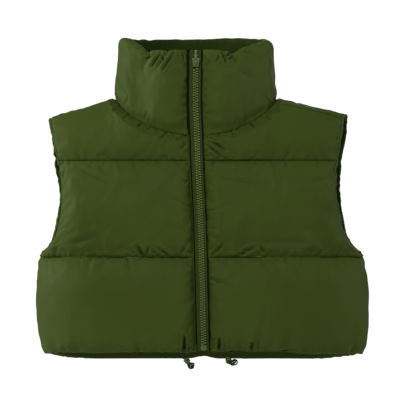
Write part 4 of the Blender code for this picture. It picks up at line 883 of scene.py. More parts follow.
def makeLowerRow():
    s, p = lowerSettings, paddingSettings
    shares = evenly(s["columns"]) ** 1.12
    share = (evenly(s["rows"]) ** 1.15)[:, None]
    clothAtSide = form["clothAtSide"]
    sideEdge = (clothAtSide + (s["sideAtSeam"] - clothAtSide) * smoothStep(0.3, 0.85, share), p["roundSide"])
    zipEdge = (form["clothAtSeam"], p["roundZip"])
    for side, word, seed in ((-1, "right", 100), (1, "left", 200)):
        inner = lowRow(partial(frontRow, side), shares, 0)
        sag = 1 + s["sag"][side] * smoothStep(0.25, 0.6, shares) - s["lift"][side] * (1 - smoothStep(0.3, 0.58, shares))
        piece = newPiece("frontLower_" + word, "front_lower_" + word, inner, seed, folds=s["folds"][side],
                         below="hem", hang=hemHang(share) * sag, rise=hemRise(share))
        levelNormals(piece, [0, -1])
        faceZip(piece)
        thickness = paddedThickness(inner, hemRise(share), p["lower"], zipEdge, sideEdge)
        puff(piece, thickness - sideEase(rowDistances(inner)[1], share))
        openSeams(piece)
        shiftEdge(piece, slice(None), -1, 1, -1)
    inner = lowRow(backRow, evenly(s["columns"]), 180)
    piece = newPiece("backLower", "back_lower", inner, 300, False, folds=s["folds"][0], below="hem",
                     hang=hemHang(share), rise=hemRise(share))
    levelNormals(piece, [0, -1])
    thickness = paddedThickness(inner, hemRise(share), p["lower"], sideEdge, sideEdge)
    puff(piece, thickness - sideEase(np.minimum(*rowDistances(inner)), share))
    openSeams(piece)
    shiftEdge(piece, slice(None), [0, -1], 1, 1)


makeLowerRow()

# middle row, from the pocket seam to the chest seam, with the armholes' feet
middleSettings = {
    "columns": 150,
    "footRows": 24,  # rows of points beside the armhole's foot, closer together the lower they lie
    "footRise": 0.0315,
    "footPower": 1.9,
    "rowSpacing": 0.0017,
    "folds": {  # in millimetres, by side, the back is 0
        -1: [(-84, -235, -92, -219, 4.6, 2.6), (-79, -235, -76, -221, 3.4, 2.2), (-175, -105, -130, -130, 1.8, 4.5),
             (-48, -233, -64, -220, 2.2, 2.6), (-30, -233, -18, -215, 2.2, 2.6), (-190, -218, -150, -205, 1.6, 4)],
        1: [(30, -118, 100, -130, 1.4, 5), (56, -234, 82, -220, 3, 2.6), (98, -233, 88, -218, 2.8, 2.4),
            (70, -212, 150, -215, 1.6, 5), (20, -232, 33, -218, 2.4, 2.4), (190, -115, 160, -124, 1.6, 4)],
        0: [(-120, -115, -70, -135, 1.8, 5), (110, -215, 30, -210, 1.8, 5), (10, -233, 20, -215, 2.4, 2.8),
            (-90, -233, -80, -218, 2.4, 2.8)]},
}


def middleHeights():
    s = middleSettings
    foot, top, spacing = form["armholeFoot"], form["chestSeam"], s["rowSpacing"]
    turn = foot + s["footRise"] * np.linspace(0, 1, s["footRows"]) ** s["footPower"]
    rest = np.arange(turn[-1] + spacing, top - 0.001, spacing)
    return np.concatenate([np.linspace(form["pocketSeam"], foot, 8)[:-1], turn, rest, [top]])


armholeEdges = {-1: {}, 1: {}}
# in millimetres: height and how far the back's edge shows beyond the front's, on the right and on the left
backShows = curvesThrough(inMetres([(-235, 0, 0), (-220, 1, 0), (-200, 3.5, 0.5), (-165, 1, 1.2), (-140, 0, 2.2),
                                    (-110, 3, 2.8), (-80, 1.2, 4.5), (-45, 0, 6.2), (-30, 0, 4.5)]))


def showBack(piece):
    height = piece["inner"][..., 2].copy()
    for side, distance, shows in zip((-1, 1), rowDistances(piece["inner"]), backShows):
        shift = side * shows(height) * np.exp(-((distance / 0.022) ** 2))
        for grid in (piece["inner"], piece["outer"]):
            grid[..., 0] += shift


def uprightShares(height, shares, first, hole, halfDepth):
    # keeps a row's columns above each other, so that only the outer ones give way to the armhole
    full = lengthsAlong(bodyPoint(1, np.linspace(first, 90, 120), height))[-1]
    cut = lengthsAlong(bodyPoint(1, np.linspace(angleAtDepth(hole, halfDepth), 90, 60), height))[-1] if hole > 0 else 0
    power = min(8.0, 0.72 * full / max(cut, 0.001))
    return (shares * full - cut * shares ** max(power, 1.05)) / (full - cut)


def makeMiddleRow():
    s, p = middleSettings, paddingSettings
    heights = middleHeights()
    low, high = form["pocketSeam"], form["chestSeam"]
    rise = pillowRise((heights - low) / (high - low))[:, None]
    below = int(np.sum(heights <= form["armholeFoot"] + 1e-9))
    foot = smoothStep(form["armholeFoot"], low, heights)[:, None]
    clothAtHole = form["clothAtArmhole"]
    holeEdge = (clothAtHole + (lowerSettings["sideAtSeam"] - clothAtHole) * foot, p["roundSide"])
    even = evenly(s["columns"])

    def padRow(piece, firstEdge):
        levelNormals(piece, [0, -1])
        levelFoot(piece, heights)
        if piece["zipEdge"]:
            faceZip(piece)
        puff(piece, paddedThickness(piece["inner"], rise, p["middle"], firstEdge, holeEdge))
        openSeams(piece)

    for side, word, seed in ((-1, "right", 400), (1, "left", 500)):
        inner = [frontRow(side, h, uprightShares(h, even**1.12, 2, float(holeFront(h)), float(bodyFront(h))))
                 for h in heights]
        piece = newPiece("frontMiddle_" + word, "front_middle_" + word, np.array(inner), seed, folds=s["folds"][side])
        padRow(piece, (form["clothAtSeam"], p["roundZip"]))
        shiftEdge(piece, slice(below), -1, 1, -1)
        armholeEdges[side]["frontMiddle"] = (piece, slice(below - 1, None), -1)
    inner = [backRow(h, uprightShares(h, even, 1, float(holeBack(h)), float(bodyBack(h)))) for h in heights]
    piece = newPiece("backMiddle", "back_middle", np.array(inner), 600, False, folds=s["folds"][0])
    padRow(piece, holeEdge)
    shiftEdge(piece, slice(below), [0, -1], 1, 1)
    showBack(piece)
    for side, column in ((-1, 0), (1, -1)):
        armholeEdges[side]["backMiddle"] = (piece, slice(below - 1, None), column)


makeMiddleRow()

# yokes, from the chest seam over the shoulders to the neck
yokeSettings = {
    "rows": 60,
    "neckColumns": 100,
    "backNeckColumns": 60,
    "shoulderColumns": 52,
    "folds": {  # in millimetres, by side, the back is 0
        -1: [(-118, -13, -124, -24, 4.4, 1.5), (-83, -33, -90, -45, 4.6, 1.6), (-103, -24, -109, -34, 2.4, 1.5),
             (-50, -50, -60, -64, 2.4, 2.2), (-15, -62, -30, -76, 2, 2.2), (-150, -86, -135, -78, 1.6, 2.6)],
        1: [(108, -15, 113, -26, 4.4, 1.5), (71, -34, 78, -46, 4.6, 1.6), (93, -26, 99, -36, 2.4, 1.5),
            (11, -60, 38, -76, 3, 2.2), (11, -69, 31, -86, 2.6, 1.8), (12, -56, 28, -64, 2.4, 1.8)],
        0: [(-90, -10, -110, -35, 3.2, 3.4), (85, -10, 105, -35, 3.2, 3.4), (-30, 8, -38, -18, 2.2, 3),
            (42, 6, 52, -20, 2.4, 3)]},
}


def halfYoke(side, angles, lowPoints):
    s = yokeSettings
    neck = neckPoint(side, angles)
    shoulder = shoulderLine(side, s["shoulderColumns"])
    top = np.concatenate([neck, shoulder[1:]])
    lengths = lengthsAlong(neck)
    under = form["shoulderShare"]
    shares = np.concatenate([lengths / lengths[-1] * (1 - under),
                             1 - under + under * np.arange(1, s["shoulderColumns"] + 1) / s["shoulderColumns"]])
    low = along(lowPoints, shares)
    soft = top.copy()
    for _ in range(90):  # below the seam the cloth runs round the corner between neck and shoulder
        soft[1:-1] = (soft[:-2] + 2 * soft[1:-1] + soft[2:]) / 4
    square = np.clip(0.35 + 0.65 * shares / (1 - under), 0, 1)
    rows = evenly(s["rows"])[:, None]
    inward = square * (1 - np.cos(rows * math.pi / 2)) + (1 - square) * rows
    upward = square * np.sin(rows * math.pi / 2) + (1 - square) * rows
    mix = np.stack([upward, inward, upward], axis=-1)
    goal = soft + (top - soft) * smoothStep(0.72, 1.0, rows)[..., None]
    inner = low[None] + (goal - low[None]) * mix
    over = unit(np.cross(shoulder[-1] - shoulder[0], [0.0, 1.0, 0.0]) * side * np.array([1, 0, 1]))
    through, toCollar = neckMitre(side, angles)
    through = np.concatenate([through, np.repeat(over[None], s["shoulderColumns"], axis=0)])
    toCollar = np.concatenate([toCollar, np.zeros((s["shoulderColumns"], 3))])
    return inner, through, toCollar


def finishYoke(piece, through, toCollar, overShoulder, firstEdge, shoulder, towardSeam):
    s, p = yokeSettings, paddingSettings
    inner = piece["inner"]
    rows = evenly(s["rows"])[:, None]
    lean = smoothStep(0.35, 1.0, rows)[..., None]
    normals = unit(piece["normals"] * (1 - lean) + through[None] * lean)
    for k in range(60):  # fewer passes near the neck seam, where the directions are cut to fit the collar
        rounds = normals[: max(len(normals) - 1 - k // 6, 1)]
        rounds[:, 1:-1] = (rounds[:, :-2] + 2 * rounds[:, 1:-1] + rounds[:, 2:]) / 4
    piece["normals"] = unit(normals)
    heights = np.linalg.norm(np.diff(inner, axis=0), axis=-1).sum(axis=0)
    pad = p["yoke"] * np.sqrt(np.clip(heights / 0.095, 0.2, 1)) * (1 - (1 - p["overShoulder"]) * overShoulder)
    thickness = paddedThickness(inner, pillowRise(rows), pad, firstEdge,
                                (form["clothAtArmhole"], p["roundShoulder"]))
    fine = np.concatenate([neckPoint(side, np.linspace(0, 180, 121)) for side in (-1, 1)])
    toNeck = np.linalg.norm(inner[:, :, None] - fine, axis=-1).min(axis=2)
    thickness = np.minimum(thickness, form["clothAtSeam"] + p["steepestAtNeck"] * toNeck)
    puff(piece, thickness)
    for grid in (piece["inner"], piece["outer"]):
        grid[-1] -= toCollar * form["seamGap"] / 2
    shiftEdge(piece, 0, slice(None), 2, 1)
    shiftEdge(piece, -1, shoulder, 1, towardSeam)


def makeYokes():
    s, p = yokeSettings, paddingSettings
    frontAngles, backAngles = neckAngles(s["neckColumns"], s["backNeckColumns"])
    chest = form["chestSeam"]
    for side, word, seed in ((-1, "right", 700), (1, "left", 800)):
        inner, through, toCollar = halfYoke(side, frontAngles, frontRow(side, chest, np.linspace(0, 1, 160)))
        piece = newPiece("frontYoke_" + word, "front_yoke_" + word, inner, seed, folds=s["folds"][side], above="neck")
        levelNormals(piece, [0])
        faceZip(piece)
        n = s["neckColumns"]
        over = smoothStep(0, 1, (np.arange(inner.shape[1]) - n * 0.6) / (n * 0.5))
        finishYoke(piece, through, toCollar, over, (form["clothAtSeam"], p["roundZip"]), slice(n, None), -1)
        armholeEdges[side]["frontYoke"] = (piece, slice(None), -1)
    halves = []
    for side in (-1, 1):
        angles = np.linspace(180, 180 - angleAtDepth(holeBack(chest), bodyBack(chest)), 160)
        halves.append(halfYoke(side, backAngles[::-1], bodyPoint(side, angles, chest)))
    right, left = halves
    inner = np.concatenate([np.flip(right[0], 1)[:, :-1], left[0]], axis=1)
    through, toCollar = (np.concatenate([right[k][:0:-1], left[k]]) for k in (1, 2))
    piece = newPiece("backYoke", "back_yoke", inner, 900, False, folds=s["folds"][0], above="neck")
    levelNormals(piece, [0])
    n, count = s["backNeckColumns"], inner.shape[1]
    over = smoothStep(0, 1, (np.abs(np.arange(count) - (count - 1) // 2) - n * 0.6) / (n * 0.5))
    shoulder = [*range(s["shoulderColumns"] + 1), *range(count - s["shoulderColumns"] - 1, count)]
    finishYoke(piece, through, toCollar, over, (form["clothAtArmhole"], p["roundShoulder"]), shoulder, 1)
    showBack(piece)
    for side, column in ((-1, 0), (1, -1)):
        armholeEdges[side]["backYoke"] = (piece, slice(None), column)


makeYokes()
print("padded rows shaped:", len(pieces))


# collar: a padded tube standing on the neck seam, open at the zip
collarSettings = {
    "frontColumns": 132,
    "backColumns": 60,
    "around": 132,
    "rolling": 0.0010,
    "lumps": 0.0005,
    "foldTucks": 0.0011,
    # the fold's height round the neck, from the zip (0) to the back (1): right and left
    "top": [
        (0.00, 0.0735, 0.0740), (0.06, 0.0735, 0.0735), (0.09, 0.0700, 0.0715), (0.12, 0.0735, 0.0672),
        (0.155, 0.0725, 0.0722), (0.18, 0.0695, 0.0760), (0.24, 0.0790, 0.0805), (0.32, 0.0880, 0.0838),
        (0.40, 0.0920, 0.0885), (0.50, 0.0925, 0.0880), (0.62, 0.0905, 0.0925), (0.80, 0.0912, 0.0925),
        (1.00, 0.0918, 0.0918)],
    # the section from the neck seam (0) over the fold (1) and down inside: height, how far in, share of padding
    "outside": [(0.07, 0.0055, 0.40), (0.15, 0.0100, 0.72), (0.26, 0.0140, 0.90), (0.39, 0.0165, 1.00),
                (0.53, 0.0180, 1.00), (0.67, 0.0190, 1.00), (0.80, 0.0192, 0.99), (0.90, 0.0187, 0.95),
                (0.97, 0.0185, 0.83), (1.00, 0.0190, 0.60)],
    "inside": [(0.985, 0.0195, 0.22), (0.92, 0.0195, 0.0), (0.70, 0.0190, 0.0), (0.45, 0.0175, 0.0),
               (0.22, 0.0130, 0.0), (0.08, 0.0062, 0.0)],
    # gathers in the fold: side, where on the fold, where they end, how far down, depth, width
    "gathers": [(-1, 0.178, 0.215, 0.72, 0.0075, 0.014), (-1, 0.092, 0.130, 0.75, 0.0070, 0.012),
                (1, 0.122, 0.160, 0.78, 0.0085, 0.016), (1, 0.420, 0.440, 0.70, 0.0040, 0.030),
                (-1, 0.560, 0.600, 0.70, 0.0040, 0.030), (-1, 0.860, 0.840, 0.68, 0.0040, 0.030),
                (1, 0.760, 0.790, 0.66, 0.0035, 0.030)],
    # in millimetres
    "folds": [(-59, 72, -73, 50, 5.4, 1.8), (-38, 72, -56, 44, 5.6, 1.7), (-60, 69, -52, 56, 3, 1.5),
              (-37, 68, -44, 54, 2.6, 1.4), (-64, 71, -79, 62, 2.6, 1.6), (-70, 76, -87, 68, 2.4, 1.6),
              (-80, 83, -96, 76, 2.2, 1.8), (-25, 70, -20, 58, 2.4, 1.4), (33, 71, 39, 56, 6, 2),
              (50, 70, 34, 64, 5.2, 1.5), (40, 60, 48, 64, 3.4, 1.3), (30, 68, 23, 56, 2, 1.6),
              (58, 74, 76, 70, 1.8, 2), (50, 50, 80, 30, 1.4, 5), (-113, -6, -108, 4, 1.4, 1.8),
              (-82, -26, -79, -17, 1.4, 1.8), (104, -6, 99, 4, 1.4, 1.8), (69, -29, 66, -19, 1.4, 1.8)],
}
collarTopRight, collarTopLeft = curvesThrough(collarSettings["top"])


def collarRing(side, angle):
    s = collarSettings
    base = neckPoint(side, angle)
    outward = neckOutward(side, angle)
    through, toCollar = neckMitre(side, angle)
    turn = angle / 180
    top = float((collarTopRight if side < 0 else collarTopLeft)(turn))
    zipDistance = max(angle - neckStart, 0) / 90 * 0.19

    def padding(share, padShare):
        seam = form["clothAtSeam"]
        pad = seam + (paddingSettings["collar"] - seam) * float(edgeRound(zipDistance, 0.030))
        for gatherSide, atTop, atEnd, down, depth, width in s["gathers"]:
            if gatherSide == side and share >= down:
                reach = (share - down) / (1 - down)
                middle = atEnd + (atTop - atEnd) * reach
                pad -= depth * reach * math.exp(-(((turn - middle) / width) ** 2))
        return max(pad, 0.004) * padShare

    def place(share, inset, padShare):
        z = base[2] + share * (top - base[2])
        plan = base - outward * inset * float(smoothStep(5, 46, angle))
        plan[0] += float(zipMiddle(z)) - float(zipMiddle(base[2]))
        if angle < 90:
            plan[1] += (collarFootDepth - float(zipDepth(z))) * max(math.cos(math.radians(angle)), 0)
        plan[2] = z
        return plan + outward * padding(share, padShare)

    lift = toCollar * form["seamGap"] / 2
    ring = [base + lift, base + through * form["clothAtSeam"] + lift]
    ring += [place(*row) for row in s["outside"] + s["inside"]]
    return np.array(ring)


def smoothLoop(points, shares):
    # points at the given shares of a closed curve that runs smoothly through all but its first, square corner
    ends = np.concatenate([points[-1:], points, points[:2]])
    t = np.linspace(0, 1, 8, endpoint=False)[:, None]
    fine = []
    for k in range(1, len(points) + 1):
        a, b, c, d = ends[k - 1], ends[k], ends[k + 1], ends[min(k + 2, len(ends) - 1)]
        fine.append(b + (c - b) * t if k in (1, 2, len(points)) else smoothSpan(a, b, c, d, 8))
    fine = np.concatenate(fine + [points[:1]])
    return along(fine, shares)


neckStart = angleAcross(form["zipOpening"], form["neckHalfWidth"])


def shapeCollar():
    s = collarSettings
    front, back = neckAngles(s["frontColumns"], s["backColumns"])
    angles = np.concatenate([front, back[1:]])
    shares = evenly(s["around"])[:-1]
    rings = [smoothLoop(collarRing(-1, a), shares) for a in angles]
    rings += [smoothLoop(collarRing(1, a), shares) for a in angles[-2::-1]]
    rings = np.array(rings)
    normals = unit(np.cross(np.roll(rings, -1, axis=1) - np.roll(rings, 1, axis=1), np.gradient(rings, axis=0)))
    middle = rings.mean(axis=1, keepdims=True)
    normals *= np.where(np.sum(normals * (rings - middle), axis=-1, keepdims=True) < 0, -1, 1)
    p = lengthsAlong(rings[:, s["around"] // 3])[:, None] + 0 * rings[..., 0]
    q = rowDistances(rings)[0]
    girth = q[:, -1:] + 0.001
    outside = smoothStep(-0.15, 0.35, np.sum(normals * unit((rings - heart) * [1, 1, 0]), axis=-1))
    ends = np.minimum(p, p[-1:] - p)
    fade = 1 - np.exp(-ends / 0.004)
    rise = seamGathers(p, q, gatherSettings["collarFoot"], 1000)
    rise += seamGathers(p, girth - q, gatherSettings["seam"], 1010)
    rise += seamGathers(q, ends, gatherSettings["zip"], 1020)
    rise += s["rolling"] * fade * softNoise(p / 0.05, q / 0.045, 1040)
    rise += s["lumps"] * fade * softNoise(p / 0.017, q / 0.021, 1050)
    fold = np.exp(-((rings[..., 2] - rings[..., 2].max(axis=1, keepdims=True)) / 0.010) ** 2)
    rise += s["foldTucks"] * fold * fade * softNoise(p / 0.011, q / 0.03, 1060)
    pressed = folds(rings, s["folds"]) * outside * (rings[..., 1] < 0)
    rings = rings + normals * (rise * fade - pressed)[..., None]
    flat = np.stack([np.concatenate([p, p[:, :1]], axis=1), np.concatenate([q, girth], axis=1)], axis=-1)
    return {"name": "standCollar", "inner": rings, "outer": rings, "normals": normals, "flat": flat}


def makeCollar(piece):
    patch = newPatch()
    fold = int(np.argmax(piece["outer"][len(piece["outer"]) // 2, :, 2])) + 3
    ring, flat = piece["outer"], piece["flat"]
    addGrid(patch, ring[:, :fold + 1], flat[:, :fold + 1], 0)
    # the collar's inside, from the fold down, takes the darkened lining finish: painted shade where the tube's inside
    # lies in shadow
    addGrid(patch, np.concatenate([ring[:, fold:], ring[:, :1]], axis=1), flat[:, fold:], 1)
    for end in (0, -1):
        ring = piece["outer"][end]
        spine = (ring + ring[::-1]) / 2
        cap = np.stack([ring, ring + (spine - ring) * 0.5, spine])
        addGrid(patch, cap, piece["flat"][[end, end, end]], 0, around=True)
    addPiece(piece["name"], patch, [shellTaffeta, liningTaffeta], "shell", "collar")


zipEdgeSettings = {
    "back": {-1: 0.0028, 1: -0.0004},  # how far each front's turned edge stays back from its seam on the tape
    "shortWave": (0.0010, 0.011),
    "longWave": (0.0010, 0.034),
    "collarWave": (0.0008, 0.013),
    "fade": 0.009,
}


def wander(piece, s):
    # the turned edge beside the zip isn't straight: the filling pushes it out between the tucks
    walk = columnDistances(piece["inner"])[0][:, :1] + piece["seed"]
    side = np.sign(piece["inner"][:, -1:, 0] - piece["inner"][:, :1, 0])
    shift = np.where(side < 0, s["back"][-1], s["back"][1])
    waves = [size * softNoise(walk / length, 0 * walk, seed)
             for (size, length), seed in ((s["shortWave"], 1700), (s["longWave"], 1710))]
    piece["outer"][..., 0] += side * (sum(waves) + shift) * np.exp(-rowDistances(piece["inner"])[0] / s["fade"])


def wanderCollar(piece, s):
    walk = piece["flat"][:, :-1, 0]
    size, length = s["collarWave"]
    for side, away in ((-1, walk), (1, walk.max() - walk)):
        shift = s["back"][side] + size * softNoise(piece["outer"][..., 2] / length, 0 * walk, 1720 + side)
        piece["outer"][..., 0] += side * shift * np.exp(-away / s["fade"])


collar = shapeCollar()
for piece in pieces:
    piece["outer"] = piece["outer"] + piece["normals"] * relief(piece)[..., None]
    if piece["zipEdge"]:
        wander(piece, zipEdgeSettings)
wanderCollar(collar, zipEdgeSettings)
print("collar shaped")

# cloth simulation: the outer sheets, held along their seams and cut a little too large for their frames
clothSettings = {
    "spacing": 0.0040,
    "tooLarge": 0.026,
    "pressure": 2.5,
    "frames": 18,
    "quality": 5,
    "mass": 0.15,
    "stretch": 20,
    "shear": 12,
    "bending": 0.08,
    "airDamping": 4,
    "keptSwell": 0.25,  # share of the slow swelling that is kept, the padding's form is already there
    "most": 0.0040,
    "middle": 0.40,  # the creases die out toward the middle of a row, where the filling keeps the cloth tight
    "fade": 0.030,
}


def coarseSteps(lengths, spacing):
    # whole steps of a grid that lie about one spacing apart
    count = max(int(lengths[-1] / spacing), 4)
    steps = np.interp(np.linspace(0, lengths[-1], count + 1), lengths, np.arange(len(lengths)))
    return np.unique(np.round(steps).astype(int))


def smoothed(grid, rounds):
    grid = grid.copy()
    for _ in range(rounds):
        grid[1:-1] = (grid[:-2] + 2 * grid[1:-1] + grid[2:]) / 4
        grid[:, 1:-1] = (grid[:, :-2] + 2 * grid[:, 1:-1] + grid[:, 2:]) / 4
    return grid


def coarseMesh(sheets, s):
    # all sheets as one coarse mesh, with the numbers of the points on their borders
    points, faces, held, parts = [], [], [], []
    for sheet in sheets:
        grid = sheet["outer"]
        rows = coarseSteps(lengthsAlong(grid[:, grid.shape[1] // 3]), s["spacing"])
        columns = coarseSteps(lengthsAlong(grid[len(grid) // 2]), s["spacing"])
        small, out = grid[np.ix_(rows, columns)], sheet["normals"][np.ix_(rows, columns)]
        facing = np.cross(small[1, 1] - small[0, 1], small[1, 1] - small[1, 0]) @ out[1, 1] > 0
        number = len(points) + np.arange(len(rows) * len(columns)).reshape(len(rows), len(columns))
        parts.append((sheet, rows, columns, len(points), small))
        points += small.reshape(-1, 3).tolist()
        held += np.unique(np.concatenate([number[0], number[-1], number[:, 0], number[:, -1]])).tolist()
        corners = [number[:-1, :-1], number[:-1, 1:], number[1:, 1:], number[1:, :-1]]
        faces += np.stack(corners if facing else corners[::-1], axis=-1).reshape(-1, 4).tolist()
    return points, faces, held, parts


def simulate(points, faces, held, s):
    mesh = bpy.data.meshes.new("sheets")
    mesh.from_pydata(points, [], faces)
    obj = bpy.data.objects.new("sheets", mesh)
    addToScene(obj)
    obj.vertex_groups.new(name="seams").add(held, 1.0, "REPLACE")
    modifier = obj.modifiers.new("cloth", "CLOTH")
    cloth = modifier.settings
    cloth.quality = s["quality"]
    cloth.mass = s["mass"]
    cloth.tension_stiffness = cloth.compression_stiffness = s["stretch"]
    cloth.shear_stiffness = s["shear"]
    cloth.bending_stiffness = s["bending"]
    cloth.air_damping = s["airDamping"]
    cloth.use_pressure = True
    cloth.uniform_pressure_force = s["pressure"]
    cloth.shrink_min = cloth.shrink_max = -s["tooLarge"]
    cloth.vertex_group_mass = "seams"
    cloth.effector_weights.gravity = 0
    modifier.collision_settings.use_collision = False
    modifier.collision_settings.use_self_collision = False
    modifier.point_cache.frame_start = 1
    modifier.point_cache.frame_end = s["frames"]
    for step in range(1, s["frames"] + 1):
        bpy.context.scene.frame_set(step)
    moved = obj.evaluated_get(bpy.context.evaluated_depsgraph_get()).data
    places = np.empty(len(points) * 3)
    moved.vertices.foreach_get("co", places)
    bpy.data.objects.remove(obj)
    bpy.data.meshes.remove(mesh)
    bpy.context.scene.frame_set(1)
    return places.reshape(-1, 3)


def stretched(values, known, count):
    # values known at some of a grid's rows, spread evenly to all of them
    columns = [[np.interp(np.arange(count), known, line) for line in values[..., k].T] for k in range(3)]
    return np.stack(columns, axis=-1).transpose(1, 0, 2)


def crumple(sheets, s):
    points, faces, held, parts = coarseMesh(sheets, s)
    places = simulate(points, faces, held, s)
    for sheet, rows, columns, start, small in parts:
        shift = places[start:start + small.shape[0] * small.shape[1]].reshape(small.shape) - small
        slow = smoothed(shift, 24)
        shift = (shift - slow) + s["keptSwell"] * slow
        size = np.linalg.norm(shift, axis=-1, keepdims=True)
        shift = shift * s["most"] * np.tanh(size / s["most"]) / np.maximum(size, 1e-9)
        near = np.exp(-np.min([*rowDistances(small), *columnDistances(small)], axis=0) / s["fade"])
        shift = shift * (s["middle"] + (1 - s["middle"]) * near)[..., None]
        shift[[0, -1]] = 0
        shift[:, [0, -1]] = 0
        fine = stretched(shift, rows, sheet["outer"].shape[0])
        fine = stretched(fine.transpose(1, 0, 2), columns, sheet["outer"].shape[1]).transpose(1, 0, 2)
        sheet["outer"] = sheet["outer"] + smoothed(fine, 2)


crumple(pieces + [collar], clothSettings)
print("cloth simulated")


# the rows' closed shells: shell cloth outside, lining inside
liningSettings = {
    "roundWidth": 0.02,
    "draw": 0.0006,  # the lining is drawn a little into the wall between its seams
    "gathers": 0.0008,
    "gatherReach": 0.012,
    "allowance": 0.0007,  # the seam allowances meet inside the seam, so no light comes through it
    "wall": 0.003,  # the seam's wall on the flat pattern
}


def borderLoop(grid):
    return np.concatenate([grid[0], grid[1:, -1], grid[-1, -2::-1], grid[-2:0:-1, 0]])


def makeShell(piece):
    inner, outer = piece["inner"], piece["outer"]
    p, pLast = rowDistances(inner)
    q, qLast = columnDistances(inner)
    flat = np.stack([p, q], axis=-1)
    patch = newPatch()
    addGrid(patch, outer, flat, 0)
    s, seed = liningSettings, piece["seed"]
    toSeam = np.minimum(q, qLast)
    inside = edgeRound(np.minimum(toSeam, np.minimum(p, pLast)), s["roundWidth"])
    wave = s["draw"] * inside * (1 + softNoise(p / 0.018, q / 0.03, seed + 60))
    gathers = s["gathers"] * inside * (1 + softNoise(p / 0.006, q / 0.02, seed + 61))
    wave += gathers * np.exp(-toSeam / s["gatherReach"])
    addGrid(patch, inner + piece["normals"] * wave[..., None], flat, 1)
    edgeOut, edgeIn, edgeFlat = borderLoop(outer), borderLoop(inner), borderLoop(flat)
    beyond = np.zeros(outer.shape)
    beyond[0], beyond[-1] = unit(outer[0] - outer[1]), unit(outer[-1] - outer[-2])
    beyond[1:-1, 0], beyond[1:-1, -1] = unit(outer[1:-1, 0] - outer[1:-1, 1]), unit(outer[1:-1, -1] - outer[1:-1, -2])
    strip = np.stack([edgeOut, (edgeOut + edgeIn) / 2 + borderLoop(beyond) * s["allowance"], edgeIn])
    stripFlat = np.stack([edgeFlat, edgeFlat + [0, s["wall"] / 2], edgeFlat + [0, s["wall"]]])
    addGrid(patch, strip, np.concatenate([stripFlat, stripFlat[:, :1]], axis=1), 0, around=True)
    addPiece(piece["name"], patch, [shellTaffeta, liningTaffeta], "shell", piece["node"])


for piece in pieces:
    makeShell(piece)
makeCollar(collar)
print("padded pieces made")

# armhole bindings: a folded strip of cloth rolled over each armhole's edge
bindingSettings = {
    "radius": 0.0026,
    "across": 0.0034,
    "clear": 0.0012,
    "sides": 16,
    "spacing": 0.0018,
    "atFoot": 0.62,
    "footInward": 0.0018,
    "crinkle": 0.0012,
    "girth": 0.019,
}


def roundOff(line):
    return (np.roll(line, 1, axis=0) + 2 * line + np.roll(line, -1, axis=0)) / 4


def armholeLoop(side, key):
    # all round an armhole: up the front, over the shoulder and down the back
    frontMiddle, frontYoke, backYoke, backMiddle = (
        piece[key][rows, column] for piece, rows, column in
        (armholeEdges[side][name] for name in ("frontMiddle", "frontYoke", "backYoke", "backMiddle")))
    return np.concatenate([frontMiddle[:-1], frontYoke[:-1], backYoke[::-1], backMiddle[:0:-1][1:]])


def makeBinding(side, word, s):
    inner, outer = armholeLoop(side, "inner"), armholeLoop(side, "outer")
    middle, cloth = (inner + outer) / 2, unit(outer - inner)
    count = int(lengthsAlong(middle)[-1] / s["spacing"])
    closedLine = np.concatenate([middle, middle[:1]])
    lengths = lengthsAlong(closedLine)
    at = evenly(count)[:-1] * lengths[-1]
    middle = np.stack([np.interp(at, lengths, closedLine[:, k]) for k in range(3)], axis=-1)
    closedCloth = np.concatenate([cloth, cloth[:1]])
    cloth = unit(np.stack([np.interp(at, lengths, closedCloth[:, k]) for k in range(3)], axis=-1))
    for _ in range(10):  # takes the corners off, as a bias strip does
        middle, cloth = roundOff(middle), unit(roundOff(cloth))
    away = unit(np.cross(unit(np.roll(middle, -1, axis=0) - np.roll(middle, 1, axis=0)), cloth))
    holeMiddle = np.array([side * 0.215, 0, -0.13])
    away *= np.where(np.sum(away * (holeMiddle - middle), axis=1, keepdims=True) < 0, -1, 1)
    centre = middle + away * s["clear"]
    aboveFoot = centre[:, 2] - form["armholeFoot"]
    centre[:, 0] -= side * s["footInward"] * (1 - smoothStep(0.0, 0.012, aboveFoot))
    walk = lengthsAlong(centre)
    # the strip is cut across the thread and crinkles, most where the seam between the rows pulls at it
    atSeam = np.exp(-((centre[:, 2] - form["chestSeam"] + 0.016) / 0.022) ** 2)
    pull = s["crinkle"] * smoothStep(0.010, 0.035, aboveFoot) * (0.55 + atSeam)
    centre = centre + away * (pull * softNoise(walk / 0.0075, 0 * walk, 1220 + side))[:, None] \
        + cloth * (pull * softNoise(walk / 0.0060, 0 * walk, 1230 + side))[:, None]
    turn = np.linspace(0, 2 * math.pi, s["sides"], endpoint=False)
    swell = 1 + 0.10 * softNoise(walk[:, None] / 0.006, turn[None] / 1.5, 1200 + side) \
        + 0.07 * softNoise(walk[:, None] / 0.0022 + turn[None] * 0.6, 0 * turn[None], 1210 + side)
    fromFoot = smoothStep(0.0, 0.020, centre[:, 2] - form["armholeFoot"])[:, None]
    swell = swell * (s["atFoot"] + (1 - s["atFoot"]) * fromFoot)
    rings = centre[:, None] + (away[:, None] * np.cos(turn)[None, :, None] * s["radius"]
                               + cloth[:, None] * np.sin(turn)[None, :, None] * s["across"]) * swell[..., None]
    flat = flatGrid(np.linspace(0, s["girth"], s["sides"] + 1), np.append(walk, walk[-1] + s["spacing"]))
    patch = newPatch()
    addGrid(patch, rings, flat, around=True, ring=True)
    # the strip's inner half takes the darkened lining finish: painted shade on the edge that shows between the front
    # and the back
    patch["slots"][0] = np.tile(np.where(np.sin(turn + math.pi / s["sides"]) < -0.15, 1, 0), count)
    addPiece("armholeBinding_" + word, patch, [bindingTaffeta, liningTaffeta], "trim", "armhole_binding_" + word)
    seam = rings[:, int(s["sides"] * 0.34)]
    return seam, unit(seam - centre)


bindingLines = {side: makeBinding(side, word, bindingSettings) for side, word in bothSides}
print("armholes bound")

